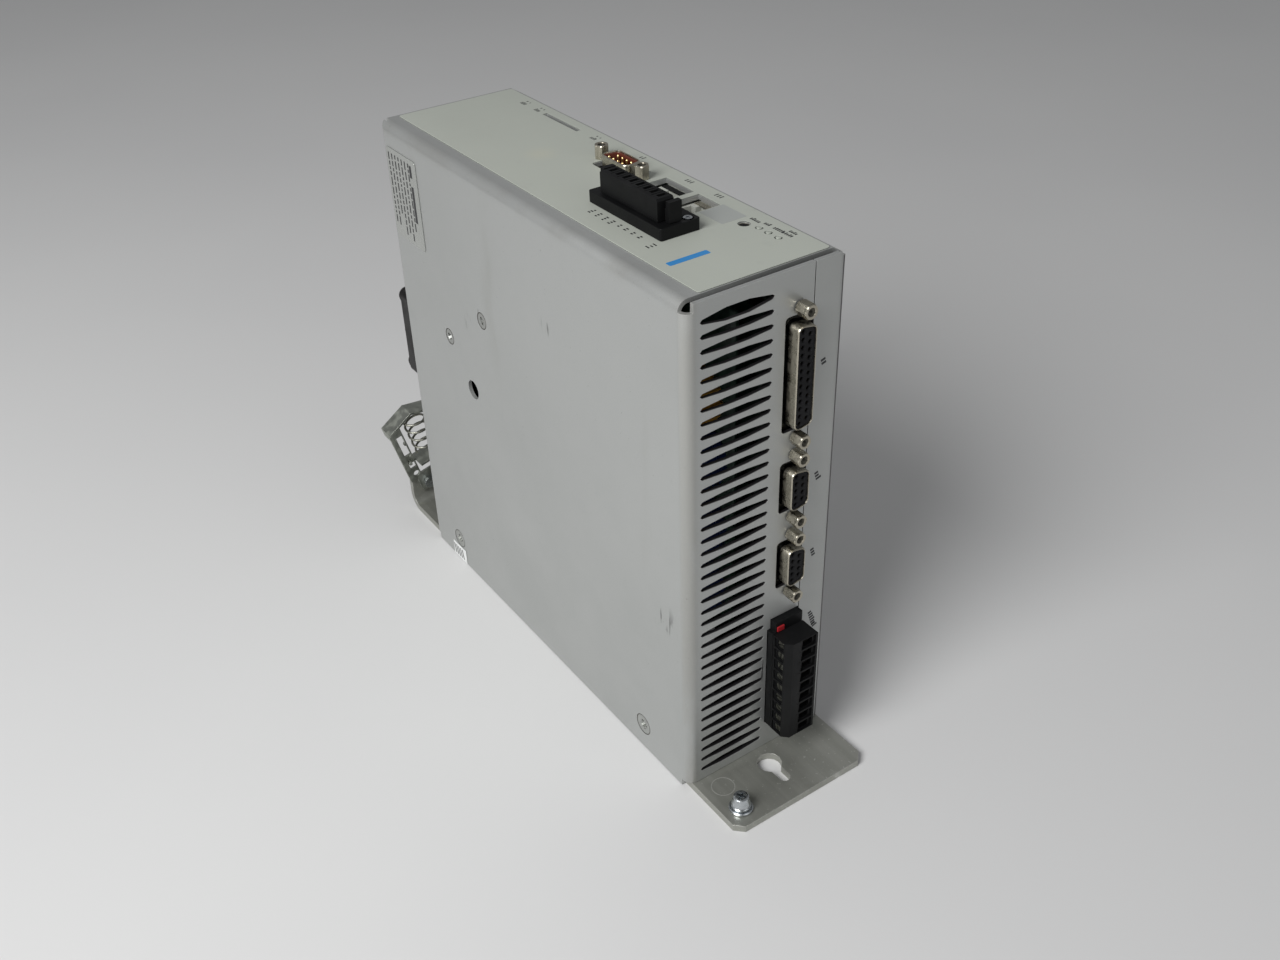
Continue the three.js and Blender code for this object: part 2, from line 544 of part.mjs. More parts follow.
// ---- D-sub connectors: shell with its flange, plastic insert, and two hexagonal posts ----------
function dsub(name, kind, plane, u, v, panel, outward, male) {
  const span = (a, b) => [panel + outward * a, panel + outward * b].sort((p, q) => p - q);
  const flangeFace = -SHEET_T - CLEAR;
  const shellTop = flangeFace + DSUB_SHELL_OUT;
  const wall = DSUB_SHELL_T;
  const lining = wall + 0.2;
  const bore = (grow) => dShape(u, v, kind.shell - 2 * grow, DSUB_SHELL_H - 2 * grow);
  const flange = prism(rounded(u - DSUB_FLANGE_H / 2, v - kind.flange / 2, u + DSUB_FLANGE_H / 2,
    v + kind.flange / 2, even(2)), plane, ...span(flangeFace - DSUB_FLANGE_T, flangeFace), 2);
  const tube = prism(bore(0), plane, ...span(flangeFace - 0.5, shellTop));
  const studHoles = [-1, 1].map((side) => cylinder(
    plane, u, v + (side * kind.post) / 2, POST_STUD_R + CLEAR, ...span(flangeFace - 3, 1), 12));
  const through = prism(bore(wall), plane, ...span(flangeFace - 3, shellTop + 1));
  piece(`${name}_shell`, subtract(add(flange, tube), through, ...studHoles), NICKEL);

  const back = flangeFace - DSUB_FLANGE_T - CLEAR;
  const plug = prism(bore(lining), plane, ...span(back - 1, shellTop - 0.4));
  const rear = [[u - 4.3, v - kind.shell / 2], [CONTROL_BOARD_X - CLEAR, v + kind.shell / 2]];
  const rearBlock = prism(rounded(...rear[0], ...rear[1], even(0)), plane, ...span(back - 9, back));
  const well = prism(bore(lining + 0.8), plane, ...span(flangeFace + 0.3, shellTop + 1));
  const insert = male ? subtract(plug, well) : plug;
  piece(`${name}_insert`, add(insert, rearBlock), male ? BROWN : BLACK);

  ['lower', 'upper'].forEach((place, index) => {
    const at = v + ((2 * index - 1) * kind.post) / 2;
    const post = hexagon(plane, u, at, POST_AF, ...span(0.4, POST_OUT));
    const stud = cylinder(plane, u, at, POST_STUD_R, ...span(flangeFace - 2.6, 1), 10);
    const thread = cylinder(plane, u, at, 1.25, ...span(POST_OUT - 3, POST_OUT + 1), 10);
    piece(`${name}_post_${place}`, subtract(add(post, stud), thread), NICKEL);
  });
}
for (const { name, kind, z } of frontSockets) dsub(name, kind, 'XZ', CONN_X, z, 0, -1, false);
dsub('x5', DSUB_9, 'XY', X5_X, X5_Y, BOX_H, 1, true);

// ---- Nine-pole power plug in its header --------------------------------------------------------
function row(count, pitch, middle) {
  return Array.from({ length: count }, (_, i) => middle + (i - (count - 1) / 2) * pitch);
}
const poleZ = row(POLE_COUNT, POLE_PITCH, x9.bottom + X9_H / 2);

function x9Header() {
  const block = add(
    box([x9.left, -X9_HEADER_OUT, x9.bottom], [x9.right, X9_DEEP, x9.top]),
    box([x9.left + X9_LEDGE_IN, -X9_HEADER_OUT, x9.top - 1],
      [x9.right, X9_DEEP, x9.top + X9_HEADER_OVER]));
  const w = X9_WALL;
  const cavity = box([x9.left + w, -X9_HEADER_OUT - 1, x9.bottom + w],
    [x9.right - w, X9_TONGUE - X9_HEADER_OUT + 0.5, x9.top - w]);
  return block.subtract(cavity);
}
piece('x9_header', x9Header(), BLACK);

function x9Plug() {
  const back = -X9_HEADER_OUT - CLEAR;
  const front = -X9_PLUG_OUT;
  const body = prism(outline([[x9.left, back], [x9.left, front + X9_BEVEL],
    [x9.left + X9_BEVEL, front], [x9.right, front], [x9.right, back]]), 'XY', x9.bottom, x9.top);
  const w = X9_WALL + CLEAR;
  const tongue = box([x9.left + w, back - 1, x9.bottom + w],
    [x9.right - w, back + X9_TONGUE, x9.top - w]);
  const half = { entry: 1.75, screw: 1.9 };
  const screwY = (front + back) / 2 + 0.6;
  const entries = poleZ.map((z) => box([x9.right - 6.4, front - 1, z - half.entry],
    [x9.right - 2, front + 6, z + half.entry]));
  const screwPits = poleZ.map((z) =>
    cylinder('YZ', screwY, z, half.screw, x9.left - 1, x9.left + 2.5, 10));
  return subtract(add(body, tongue), ...entries, ...screwPits);
}
piece('x9_plug', x9Plug(), BLACK);

// ---- Eight-pole control terminal on the top ----------------------------------------------------
const x40Plug = {
  y0: x40.middle - x40.body / 2,
  y1: x40.middle + x40.body / 2,
  bottom: x40.bottom + X40_BASE_H + CLEAR,
};
const x40Screws = [X40_Y + X40_SCREW_IN, X40_Y + X40_L - X40_SCREW_IN];
const X40_SCREW_X = X40_X + X40_W - 3.3;

function x40Base() {
  const top = x40.bottom + X40_BASE_H;
  const lid = prism(rounded(X40_X, X40_Y, X40_X + X40_W, X40_Y + X40_L, even(0.9)),
    'XY', x40.bottom, top, 3);
  const body = box([X40_X + 1.4, X40_Y + 2, BOX_H - X40_BODY_BELOW],
    [X40_X + X40_W - 1.4, X40_Y + X40_L - 2, top - 1]);
  const w = X40_WALL;
  const socket = box([X40_PLUG_X + w, x40Plug.y0 + w, top - X40_TONGUE - 0.6],
    [X40_PLUG_X + X40_PLUG_W - w, x40Plug.y1 - w, top + 1]);
  const pits = x40Screws.map((y) => cylinder('XY', X40_SCREW_X, y, 1.95, top - 2.2, top + 1, 14));
  return subtract(add(lid, body), socket, ...pits);
}
piece('x40_base', x40Base(), BLACK);

x40Screws.forEach((y, index) => {
  const top = x40.bottom + X40_BASE_H;
  const screw = cylinder('XY', X40_SCREW_X, y, 1.6, top - 1.9, top + CLEAR, 16);
  piece(`x40_screw_${['front', 'rear'][index]}`, screw, STEEL);
});

function x40PlugBody() {
  const { y0, y1, bottom } = x40Plug;
  const top = bottom + X40_PLUG_H;
  const chamfer = 0.7;
  const body = prism(outline([[y0, bottom], [y1, bottom], [y1, top - chamfer], [y1 - chamfer, top],
    [y0 + chamfer, top], [y0, top - chamfer]]), 'YZ', X40_PLUG_X, X40_PLUG_X + X40_PLUG_W);
  const w = X40_WALL + CLEAR;
  const tongue = box([X40_PLUG_X + w, y0 + w, bottom - X40_TONGUE],
    [X40_PLUG_X + X40_PLUG_W - w, y1 - w, bottom + 1]);
  const ears = [[y0, -1], [y1, 1]].flatMap(([y, way]) => {
    const at = (near, far) => [y + way * near, y + way * far].sort((p, q) => p - q);
    const [a0, a1] = at(1.2, 3.2);
    const [b0, b1] = at(-1, 1.6);
    return [box([X40_PLUG_X + 2.4, a0, bottom], [X40_PLUG_X + 7.2, a1, top - 0.5]),
      box([X40_PLUG_X + 3, b0, bottom], [X40_PLUG_X + X40_PLUG_W - 0.2, b1, top - 3.4])];
  });
  const slots = row(X40_POLES, X40_PITCH, x40.middle).map((y) => box(
    [X40_PLUG_X + 2.1, y - 0.8, top - 2],
    [X40_PLUG_X + X40_PLUG_W - 0.8, y + 0.8, top + 1]));
  return subtract(add(body, tongue, ...ears), ...slots);
}
piece('x40_plug', x40PlugBody(), BLACK);

// ---- Modular jacks, card socket, reset button and status lights under the top ------------------
for (const { name, y, long, wide, port, tab } of jacks) {
  const top = INSIDE_TOP - JACK_SUNK;
  const left = JACK_RIGHT - wide;
  const middle = y + long / 2;
  const block = box([left, y + 0.2, top - JACK_DEEP], [CONTROL_BOARD_X - CLEAR, y + long - 0.2, top]);
  const mouth = box([left + JACK_WALL, middle - port / 2, top - JACK_DEEP + 2],
    [left + JACK_WALL + JACK_PORT_W, middle + port / 2, top + 1]);
  const latch = box([left + JACK_WALL, middle - tab / 2, top - JACK_DEEP + 2],
    [left + JACK_WALL + JACK_PORT_W + JACK_TAB_W, middle + tab / 2, top + 1]);
  piece(`${name}_jack`, subtract(block, mouth, latch), JACK_GREY);
}

const socketTop = INSIDE_TOP - CLEAR;
const cardSocket = box([CARD_X - 2.1, CARD_Y - CARD_LONG / 2 - 2, socketTop - CARD_SOCKET_DEEP],
  [CONTROL_BOARD_X - CLEAR, CARD_Y + CARD_LONG / 2 + 2, socketTop]);
const cardWay = box([CARD_X - CARD_GAP / 2, CARD_Y - CARD_LONG / 2, socketTop - CARD_SOCKET_DEEP + 3],
  [CARD_X + CARD_GAP / 2, CARD_Y + CARD_LONG / 2, socketTop + 1]);
piece('card_socket', cardSocket.subtract(cardWay), BLACK);

const resetStem = cylinder('XY', RESET_X, RESET_Y, RESET_R - 0.35, BOX_H - RESET_STEM_BELOW,
  BOX_H - 0.3, 16);
const resetCollar = cylinder('XY', RESET_X, RESET_Y, RESET_R + 0.8, INSIDE_TOP - CLEAR - 1.2,
  INSIDE_TOP - CLEAR, 16);
piece('reset_button', add(resetStem, resetCollar), BLACK);
const switchTop = BOX_H - RESET_STEM_BELOW - CLEAR - RESET_TRAVEL;
piece('reset_switch', box([RESET_X - 3, RESET_Y - 3, switchTop - RESET_SWITCH_H],
  [CONTROL_BOARD_X - CLEAR, RESET_Y + 3, switchTop]), BLACK);

const lightBar = box([LED_X - 1.5, LED_Y[0] - 2, BOX_H - 8],
  [CONTROL_BOARD_X - CLEAR, LED_Y[LED_Y.length - 1] + 2, BOX_H - 5]);
const lightPins = LED_Y.map((y) =>
  cylinder('XY', LED_X, y, LED_R - 0.25, BOX_H - 6, FILM_TOP, 12));
piece('status_light_pipe', add(lightBar, ...lightPins), LENS);

// ---- Boards and power parts inside -------------------------------------------------------------
piece('control_board', box([CONTROL_BOARD_X, 6, 8],
  [CONTROL_BOARD_X + BOARD_T, BOX_L - 10, INSIDE_TOP - 2]), BOARD_GREEN);
piece('power_board', box([POWER_BOARD_X, 18, POWER_BOARD_Z],
  [POWER_BOARD_X + BOARD_T, BOX_L - 20, BOX_H - 20]), BOARD_GREEN);

const SINK = { left: 9, right: 31, top: 44, front: 25, rear: BOX_L - 30, fins: 5, fin: 2.4, back: 4 };
const MODULE = { thick: 13, front: 45, rear: 107, bottom: 7, top: 39 };

function heatSink() {
  const { left, right, top, front, rear, fins, fin, back } = SINK;
  const bottom = FLOOR_Z + SHEET_T + CLEAR;
  const spine = box([right - back, front, bottom], [right, rear, top]);
  const pitch = (top - bottom - fin) / (fins - 1);
  const blades = row(fins, pitch, (bottom + top) / 2)
    .map((z) => box([left, front, z - fin / 2], [right - 1, rear, z + fin / 2]));
  return add(spine, ...blades);
}
piece('heat_sink', heatSink(), ALUMINIUM);
piece('power_module', box([SINK.right + CLEAR, MODULE.front, MODULE.bottom],
  [SINK.right + CLEAR + MODULE.thick, MODULE.rear, MODULE.top]), BLACK);

const boardFace = POWER_BOARD_X - CLEAR;
for (let i = 0; i < CAPACITOR_COUNT; i += 1) {
  const z = CAPACITOR_Z + i * CAPACITOR_PITCH;
  piece(`bus_capacitor_${i + 1}`, cylinder('YZ', CAPACITOR_Y, z, CAPACITOR_R, 7, boardFace, 24),
    CAPACITOR_BLUE);
}
const choke = (r, past, sides) => cylinder('YZ', CAPACITOR_Y, BOX_H - CHOKE_BELOW_TOP, r,
  boardFace - CHOKE_W - past, boardFace + past, sides);
piece('line_choke', choke(CHOKE_R, 0, 24).subtract(choke(CHOKE_BORE_R, 1, 16)), CHOKE_YELLOW);

// ---- Protective-earth screw --------------------------------------------------------------------
const washer = (r, low, high) => cylinder('XY', EARTH_X, EARTH_Y, r, low, high, 20)
  .subtract(cylinder('XY', EARTH_X, EARTH_Y, EARTH_HOLE_R, low - 1, high + 1, 12));
piece('earth_washer', washer(4.5, 0.15, 1.15), STEEL);
piece('earth_lock_washer', washer(3.7, 1.4, 2.5), STEEL);
piece('earth_screw', add(cone('XY', EARTH_X, EARTH_Y, 3.6, 2.9, 2.8, 6.5, 20),
  cylinder('XY', EARTH_X, EARTH_Y, EARTH_HOLE_R - CLEAR, -PLATE_T + 0.2, 3, 12)), STEEL);

// ---- Fan on the rear end -----------------------------------------------------------------------
const fanBack = REAR + CLEAR;
const fanFront = fanBack + FAN_DEEP;

function fanFrame() {
  const half = FAN_SIZE / 2;
  const square = prism(rounded(FAN_X - half, FAN_Z - half, FAN_X + half, FAN_Z + half, even(3)),
    'XZ', fanBack, fanFront, 3);
  const bore = cylinder('XZ', FAN_X, FAN_Z, FAN_BORE_R, fanBack - 1, fanFront + 1, 32);
  const holes = fanScrews.map(({ x, z }) => cylinder('XZ', x, z, 1.9, fanBack - 1, fanFront + 1, 10));
  const motorPlate = cylinder('XZ', FAN_X, FAN_Z, FAN_HUB_R, fanBack, fanBack + 1.6, 20);
  const shaftHole = cylinder('XZ', FAN_X, FAN_Z, 2, fanBack - 1, fanBack + 3, 12);
  const [strutIn, strutOut] = [FAN_HUB_R - 3, FAN_BORE_R + 0.6];
  const strut = new THREE.BoxGeometry(strutOut - strutIn, 1.6, 2.4);
  const struts = [45, 135, 225, 315].map((angle) => toSolid(strut,
    new THREE.Matrix4().makeTranslation(FAN_X, fanBack + 0.8, FAN_Z)
      .multiply(new THREE.Matrix4().makeRotationY(angle * RAD))
      .multiply(new THREE.Matrix4().makeTranslation((strutIn + strutOut) / 2, 0, 0))));
  return subtract(add(subtract(square, bore, ...holes), motorPlate, ...struts), shaftHole);
}
piece('fan_frame', fanFrame(), BLACK);

function fanRotor() {
  const low = fanBack + 2.2;
  const high = fanFront - 0.7;
  const tip = FAN_BORE_R - FAN_TIP_GAP;
  const hub = cylinder('XZ', FAN_X, FAN_Z, FAN_HUB_R - 0.6, low, high, 24);
  const shaft = cylinder('XZ', FAN_X, FAN_Z, 1.3, fanBack + 0.4, low + 1, 10);
  const reach = tip - FAN_HUB_R + 3;
  const blade = new THREE.BoxGeometry(reach, 0.9, 8);
  const blades = Array.from({ length: FAN_BLADES }, (_, i) => toSolid(blade,
    new THREE.Matrix4().makeTranslation(FAN_X, (low + high) / 2, FAN_Z)
      .multiply(new THREE.Matrix4().makeRotationY((i * 2 * Math.PI) / FAN_BLADES))
      .multiply(new THREE.Matrix4().makeTranslation(tip - reach / 2 - 0.6, 0, 0))
      .multiply(new THREE.Matrix4().makeRotationX(38 * RAD))));
  return add(hub, shaft, ...blades);
}
piece('fan_rotor', fanRotor(), BLACK);

const guardBack = fanFront + 0.2;
const guardFront = guardBack + GUARD_T;
function fanGuard() {
  const ring = (r, wide) => cylinder('XZ', FAN_X, FAN_Z, r, guardBack, guardFront, 32)
    .subtract(cylinder('XZ', FAN_X, FAN_Z, r - wide, guardBack - 1, guardFront + 1, 32));
  const eyes = fanScrews.map(({ x, z }) => cylinder('XZ', x, z, 3.8, guardBack, guardFront, 16));
  const arms = [45, 135].map((angle) => toSolid(
    new THREE.BoxGeometry(FAN_SCREW_PITCH * Math.SQRT2, GUARD_T, 1.6),
    new THREE.Matrix4().makeTranslation(FAN_X, (guardBack + guardFront) / 2, FAN_Z)
      .multiply(new THREE.Matrix4().makeRotationY(angle * RAD))));
  const holes = fanScrews.map(({ x, z }) => cylinder('XZ', x, z, 1.9, guardBack - 1, guardFront + 1, 10));
  const hub = cylinder('XZ', FAN_X, FAN_Z, 4, guardBack, guardFront, 16);
  return subtract(add(ring(19.4, 1.6), ring(14.4, 1.4), ring(9.4, 1.4), hub, ...eyes, ...arms), ...holes);
}
piece('fan_guard', fanGuard(), BLACK);

fanScrews.forEach(({ x, z }, index) => {
  const head = guardFront + 0.2;
  const profile = [[0, REAR - 4], [1.5, REAR - 4], [1.5, head], [DOME_R, head],
    [DOME_R * 0.85, guardFront + 0.55 * DOME_H], [DOME_R * 0.5, guardFront + 0.9 * DOME_H],
    [0, guardFront + DOME_H]];
  const lathe = new THREE.LatheGeometry(profile.map(([r, y]) => new THREE.Vector2(r, y)), 16);
  piece(`fan_screw_${index + 1}`, toSolid(lathe, new THREE.Matrix4().makeTranslation(x, 0, z)), BLACK);
});

// ---- Shield clamp on the rear lip --------------------------------------------------------------
// Its own frame leans about the foot: x runs across the clamp, z along its legs.
const clamp = new THREE.Group();
clamp.position.set(clampFoot.x, 0, clampFoot.z);
clamp.rotation.y = -CLAMP_LEAN * RAD;
drive.add(clamp);
const clampFace = lipFace - PLATE_T - CLEAR;        // the sheet lies on the lip's inner face
const clampBack = clampFace - CLAMP_T;
const saddleFace = clampFace + CLEAR;
const springY = (clampFace + clampBack) / 2;       // the spring stands in the sheet's window
const middleC = CLAMP_W / 2;
const roofSlope = (CLAMP_PEAK - CLAMP_SHOULDER) / middleC;

function clampFrame() {
  const [w, peak, shoulder, leg] = [CLAMP_W, CLAMP_PEAK, CLAMP_SHOULDER, CLAMP_LEG];
  const face = prism(outline([[0, 0], [w, 0], [w, shoulder], [middleC, peak], [0, shoulder]]),
    'XZ', clampBack, clampFace);
  const hood = prism(outline([[0, shoulder - CLAMP_T], [middleC, peak - CLAMP_T], [w, shoulder - CLAMP_T],
    [w, shoulder], [middleC, peak], [0, shoulder]]), 'XZ', clampBack - HOOD_FRONT, clampFace + HOOD_REAR);
  const cheeks = [0, w - CLAMP_T].map((c) =>
    box([c, clampFace - 0.5, shoulder - HOOD_CHEEK], [c + CLAMP_T, clampFace + HOOD_REAR, shoulder]));
  const tongue = box([clampRivet.c - 4.5, clampBack, clampRivet.a - 3.5],
    [clampRivet.c + 4.5, clampFace, 1]);
  const eaves = shoulder - CLAMP_T + roofSlope * leg;
  const window = prism(outline([[leg, CLAMP_SILL], [w - leg, CLAMP_SILL], [w - leg, eaves],
    [middleC, peak - CLAMP_T], [leg, eaves]]), 'XZ', clampBack - 1, clampFace + 1);
  const slots = [0, 1].map((side) => {
    const inner = side ? w - SLOT_IN - SLOT_W : SLOT_IN + SLOT_W;
    const low = side ? inner : SLOT_IN;
    const slot = box([low, clampBack - 1, SLOT_LOW], [low + SLOT_W, clampFace + 1, SLOT_HIGH]);
    const teeth = [13.5, 21.5].map((a) =>
      cylinder('XZ', inner, a, 1, clampBack - 1, clampFace + 1, 10));
    return subtract(slot, ...teeth);
  });
  const holes = [cylinder('XZ', 4.2, 3.4, 1.5, clampBack - 1, clampFace + 1, 12),
    cylinder('XZ', clampRivet.c, clampRivet.a, 1.7, clampBack - 1, clampFace + 1, 12)];
  return subtract(add(subtract(face, window), hood, ...cheeks, tongue), ...slots, ...holes);
}
piece('clamp_frame', clampFrame(), STEEL, clamp);

function clampSaddle() {
  const a = SADDLE_A;
  const side = CLAMP_T + CLEAR;
  const web = box([side, saddleFace, a], [CLAMP_W - side, saddleFace + CLAMP_T, a + CLAMP_T]);
  const lugs = [side, CLAMP_W - CLAMP_LEG].map((c) =>
    box([c, saddleFace, a], [c + CLAMP_LEG - side, saddleFace + CLAMP_T, a + SADDLE_LUG]));
  const foot = box([CLAMP_LEG + 0.6, springY - SADDLE_DEEP / 2, a],
    [CLAMP_W - CLAMP_LEG - 0.6, springY + SADDLE_DEEP / 2, a + CLAMP_T]);
  const tabs = [SLOT_IN + CLEAR, CLAMP_W - SLOT_IN - CLEAR - 1.4].map((c) =>
    box([c, clampBack - 0.6, a + 0.5], [c + 1.4, saddleFace + 0.5, a + 2.1]));
  return add(web, ...lugs, foot, ...tabs);
}
piece('clamp_saddle', clampSaddle(), STEEL, clamp);

class Helix extends THREE.Curve {
  constructor(low, high, y) {
    super();
    Object.assign(this, { low, high, y });
  }

  getPoint(t) {
    const angle = t * SPRING_TURNS * 2 * Math.PI;
    return new THREE.Vector3(middleC + SPRING_R * Math.cos(angle), this.y + SPRING_R * Math.sin(angle),
      this.low + t * (this.high - this.low));
  }
}
const springLow = SADDLE_A + CLAMP_T + CLEAR + SPRING_WIRE_R;
const springHigh = CLAMP_PEAK - CLAMP_T - roofSlope * (SPRING_R + SPRING_WIRE_R) - CLEAR - SPRING_WIRE_R;

const wireSection = outline([0, 60, 120, 180, 240, 300].map((angle) =>
  [SPRING_WIRE_R * Math.cos(angle * RAD), SPRING_WIRE_R * Math.sin(angle * RAD)]));
const wire = new THREE.ExtrudeGeometry(wireSection, {
  steps: SPRING_TURNS * 14,
  extrudePath: new Helix(springLow, springHigh, springY),
  bevelEnabled: false,
});
piece('clamp_spring', toSolid(wire), STEEL, clamp);

piece('clamp_screw', add(
  cylinder('XZ', clampRivet.c, clampRivet.a, 2.8, clampBack - 2, clampBack - 0.2, 16),
  cylinder('XZ', clampRivet.c, clampRivet.a, 1.4, clampBack - 1, lipFace + 1.2, 12)), STEEL, clamp);

export default drive;
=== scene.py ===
"""Servo drive, its looks around the CAD frame. Metres, +X right of the louvres, +Y towards the fan, +Z up."""
import json
import math
import random

import bmesh
import bpy
from mathutils import Matrix, Vector


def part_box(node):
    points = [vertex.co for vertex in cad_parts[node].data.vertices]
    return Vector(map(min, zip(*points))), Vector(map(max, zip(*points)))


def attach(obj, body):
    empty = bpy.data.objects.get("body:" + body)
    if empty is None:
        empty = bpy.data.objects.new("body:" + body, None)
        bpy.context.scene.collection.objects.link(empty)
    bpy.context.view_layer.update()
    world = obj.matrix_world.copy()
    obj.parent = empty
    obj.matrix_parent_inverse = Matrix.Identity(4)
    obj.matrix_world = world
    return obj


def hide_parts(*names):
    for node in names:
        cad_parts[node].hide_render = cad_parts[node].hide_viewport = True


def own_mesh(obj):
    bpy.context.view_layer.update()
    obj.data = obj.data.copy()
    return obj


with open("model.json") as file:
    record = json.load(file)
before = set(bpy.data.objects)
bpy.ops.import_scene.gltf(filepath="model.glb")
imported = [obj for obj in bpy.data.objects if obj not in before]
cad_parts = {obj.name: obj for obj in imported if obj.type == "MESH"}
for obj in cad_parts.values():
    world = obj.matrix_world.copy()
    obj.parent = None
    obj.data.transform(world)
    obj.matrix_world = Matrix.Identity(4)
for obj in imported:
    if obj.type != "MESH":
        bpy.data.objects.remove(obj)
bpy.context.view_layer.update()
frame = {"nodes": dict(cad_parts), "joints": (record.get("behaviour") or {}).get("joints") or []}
nodes = frame["nodes"]
scene = bpy.context.scene
rng = random.Random(11)

# ---- Places ----
# Pieces are drawn in millimetres from the housing's left front corner, at the top of the mounting plate.
MM = 0.001
PLATE_T = 3.0        # mounting plate
SHEET_T = 1.5        # housing sheet
cover_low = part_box("outer_cover")[0]
ORIGIN = Vector((cover_low.x, cover_low.y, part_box("mounting_plate")[0].z + PLATE_T * MM))
PLACE = Matrix.Translation(ORIGIN) @ Matrix.Scale(MM, 4)
FRONT = Matrix(((1, 0, 0, 0), (0, 0, -1, 0), (0, 1, 0, 0), (0, 0, 0, 1)))   # local z out of the front
LEFT = Matrix(((0, 0, -1, 0), (0, 1, 0, 0), (1, 0, 0, 0), (0, 0, 0, 1)))    # local z out of the left
BACK = Matrix.Rotation(-math.pi / 2, 4, "X")                                # local z out of the back
move = Matrix.Translation


def corners(node):
    """A CAD node's lowest and highest corner, in drawing millimetres."""
    return [(corner - ORIGIN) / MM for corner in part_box(node)]


def centre(node):
    """The middle of a CAD node's box, in drawing millimetres."""
    low, high = corners(node)
    return (low + high) / 2


BOX_W, BOX_L, BOX_H = corners("outer_cover")[1]
FILM_TOP = corners("top_film")[1].z


# ---- Materials ----
class Look:
    """A Principled material with procedural layers, in object coordinates."""

    def __init__(self, name, color, roughness, metallic=0.0):
        self.material = bpy.data.materials.new(name)
        self.material.use_nodes = True
        self.tree = self.material.node_tree
        self.shader = self.tree.nodes["Principled BSDF"]
        self.shader.inputs["Metallic"].default_value = metallic
        self.coords = self.node("ShaderNodeTexCoord").outputs["Object"]
        self.color = (*color, 1)
        self.roughness = roughness
        self.normal = None
        self.put(self.color, self.shader.inputs["Base Color"])
        self.put(roughness, self.shader.inputs["Roughness"])

    def node(self, kind, **settings):
        made = self.tree.nodes.new(kind)
        for key, value in settings.items():
            setattr(made, key, value)
        return made

    def put(self, value, socket):
        if isinstance(value, bpy.types.NodeSocket):
            self.tree.links.new(value, socket)
        else:
            socket.default_value = value

    def math(self, operation, a, b):
        made = self.node("ShaderNodeMath", operation=operation)
        self.put(a, made.inputs[0])
        self.put(b, made.inputs[1])
        return made.outputs[0]

    def noise(self, scale, detail=3.0, stretch=(1, 1, 1), shift=0.0, distortion=0.0):
        mapping = self.node("ShaderNodeMapping")
        self.put(self.coords, mapping.inputs["Vector"])
        mapping.inputs["Scale"].default_value = stretch
        mapping.inputs["Location"].default_value = (shift, shift * 0.7, -shift)
        made = self.node("ShaderNodeTexNoise")
        self.put(mapping.outputs["Vector"], made.inputs["Vector"])
        made.inputs["Scale"].default_value = scale
        made.inputs["Detail"].default_value = detail
        made.inputs["Distortion"].default_value = distortion
        return made.outputs["Fac"]

    def cells(self, scale):
        made = self.node("ShaderNodeTexVoronoi")
        self.put(self.coords, made.inputs["Vector"])
        made.inputs["Scale"].default_value = scale
        return made.outputs["Distance"]

    def ramp(self, value, start, end):
        """0 at start, 1 at end, smooth between them."""
        made = self.node("ShaderNodeMapRange", interpolation_type="SMOOTHSTEP", clamp=True)
        self.put(value, made.inputs["Value"])
        made.inputs["From Min"].default_value = start
        made.inputs["From Max"].default_value = end
        return made.outputs["Result"]

    def edges(self, radius_mm, start=0.02, end=0.25):
        """1 on convex and concave edges within the radius."""
        bevel = self.node("ShaderNodeBevel", samples=4)
        bevel.inputs["Radius"].default_value = radius_mm * MM
        dot = self.node("ShaderNodeVectorMath", operation="DOT_PRODUCT")
        self.put(bevel.outputs["Normal"], dot.inputs[0])
        self.put(self.node("ShaderNodeNewGeometry").outputs["Normal"], dot.inputs[1])
        return self.ramp(self.math("SUBTRACT", 1.0, dot.outputs["Value"]), start, end)

    def along(self, axis, start_mm, end_mm):
        """0 at one place along an axis and 1 at the other, in drawing millimetres."""
        split = self.node("ShaderNodeSeparateXYZ")
        self.put(self.coords, split.inputs[0])
        base = ORIGIN["XYZ".index(axis)]
        return self.ramp(split.outputs[axis], base + start_mm * MM, base + end_mm * MM)

    def both(self, *factors):
        """The product of masks: 1 only where all of them are 1."""
        product = factors[0]
        for factor in factors[1:]:
            product = self.math("MULTIPLY", product, factor)
        return product

    def near(self, point, radius_mm):
        """1 at a point given in drawing millimetres, 0 past the radius."""
        gap = self.node("ShaderNodeVectorMath", operation="DISTANCE")
        self.put(self.coords, gap.inputs[0])
        gap.inputs[1].default_value = PLACE @ Vector(point)
        return self.ramp(gap.outputs["Value"], radius_mm * MM, 0.0)

    def scratches(self, stretch, shift, thin=0.012):
        """Thin lines along the stretched noise's level sets, broken up by a second noise."""
        level = self.math("ABSOLUTE", self.math("SUBTRACT", self.noise(9, 1.5, stretch, shift), 0.5), 0.0)
        line = self.ramp(level, thin, 0.0)
        return self.math("MULTIPLY", line, self.ramp(self.noise(28, 2, (1, 1, 1), shift + 3), 0.56, 0.64))

    def tint(self, factor, color, share=1.0):
        mix = self.node("ShaderNodeMix", data_type="RGBA")
        self.put(self.math("MULTIPLY", factor, share), mix.inputs["Factor"])
        self.put(self.color, mix.inputs["A"])
        self.put((*color, 1), mix.inputs["B"])
        self.color = mix.outputs["Result"]
        self.put(self.color, self.shader.inputs["Base Color"])

    def rough(self, factor, roughness, share=1.0):
        mix = self.node("ShaderNodeMix", data_type="FLOAT")
        self.put(self.math("MULTIPLY", factor, share), mix.inputs["Factor"])
        self.put(self.roughness, mix.inputs["A"])
        self.put(roughness, mix.inputs["B"])
        self.roughness = mix.outputs["Result"]
        self.put(self.roughness, self.shader.inputs["Roughness"])

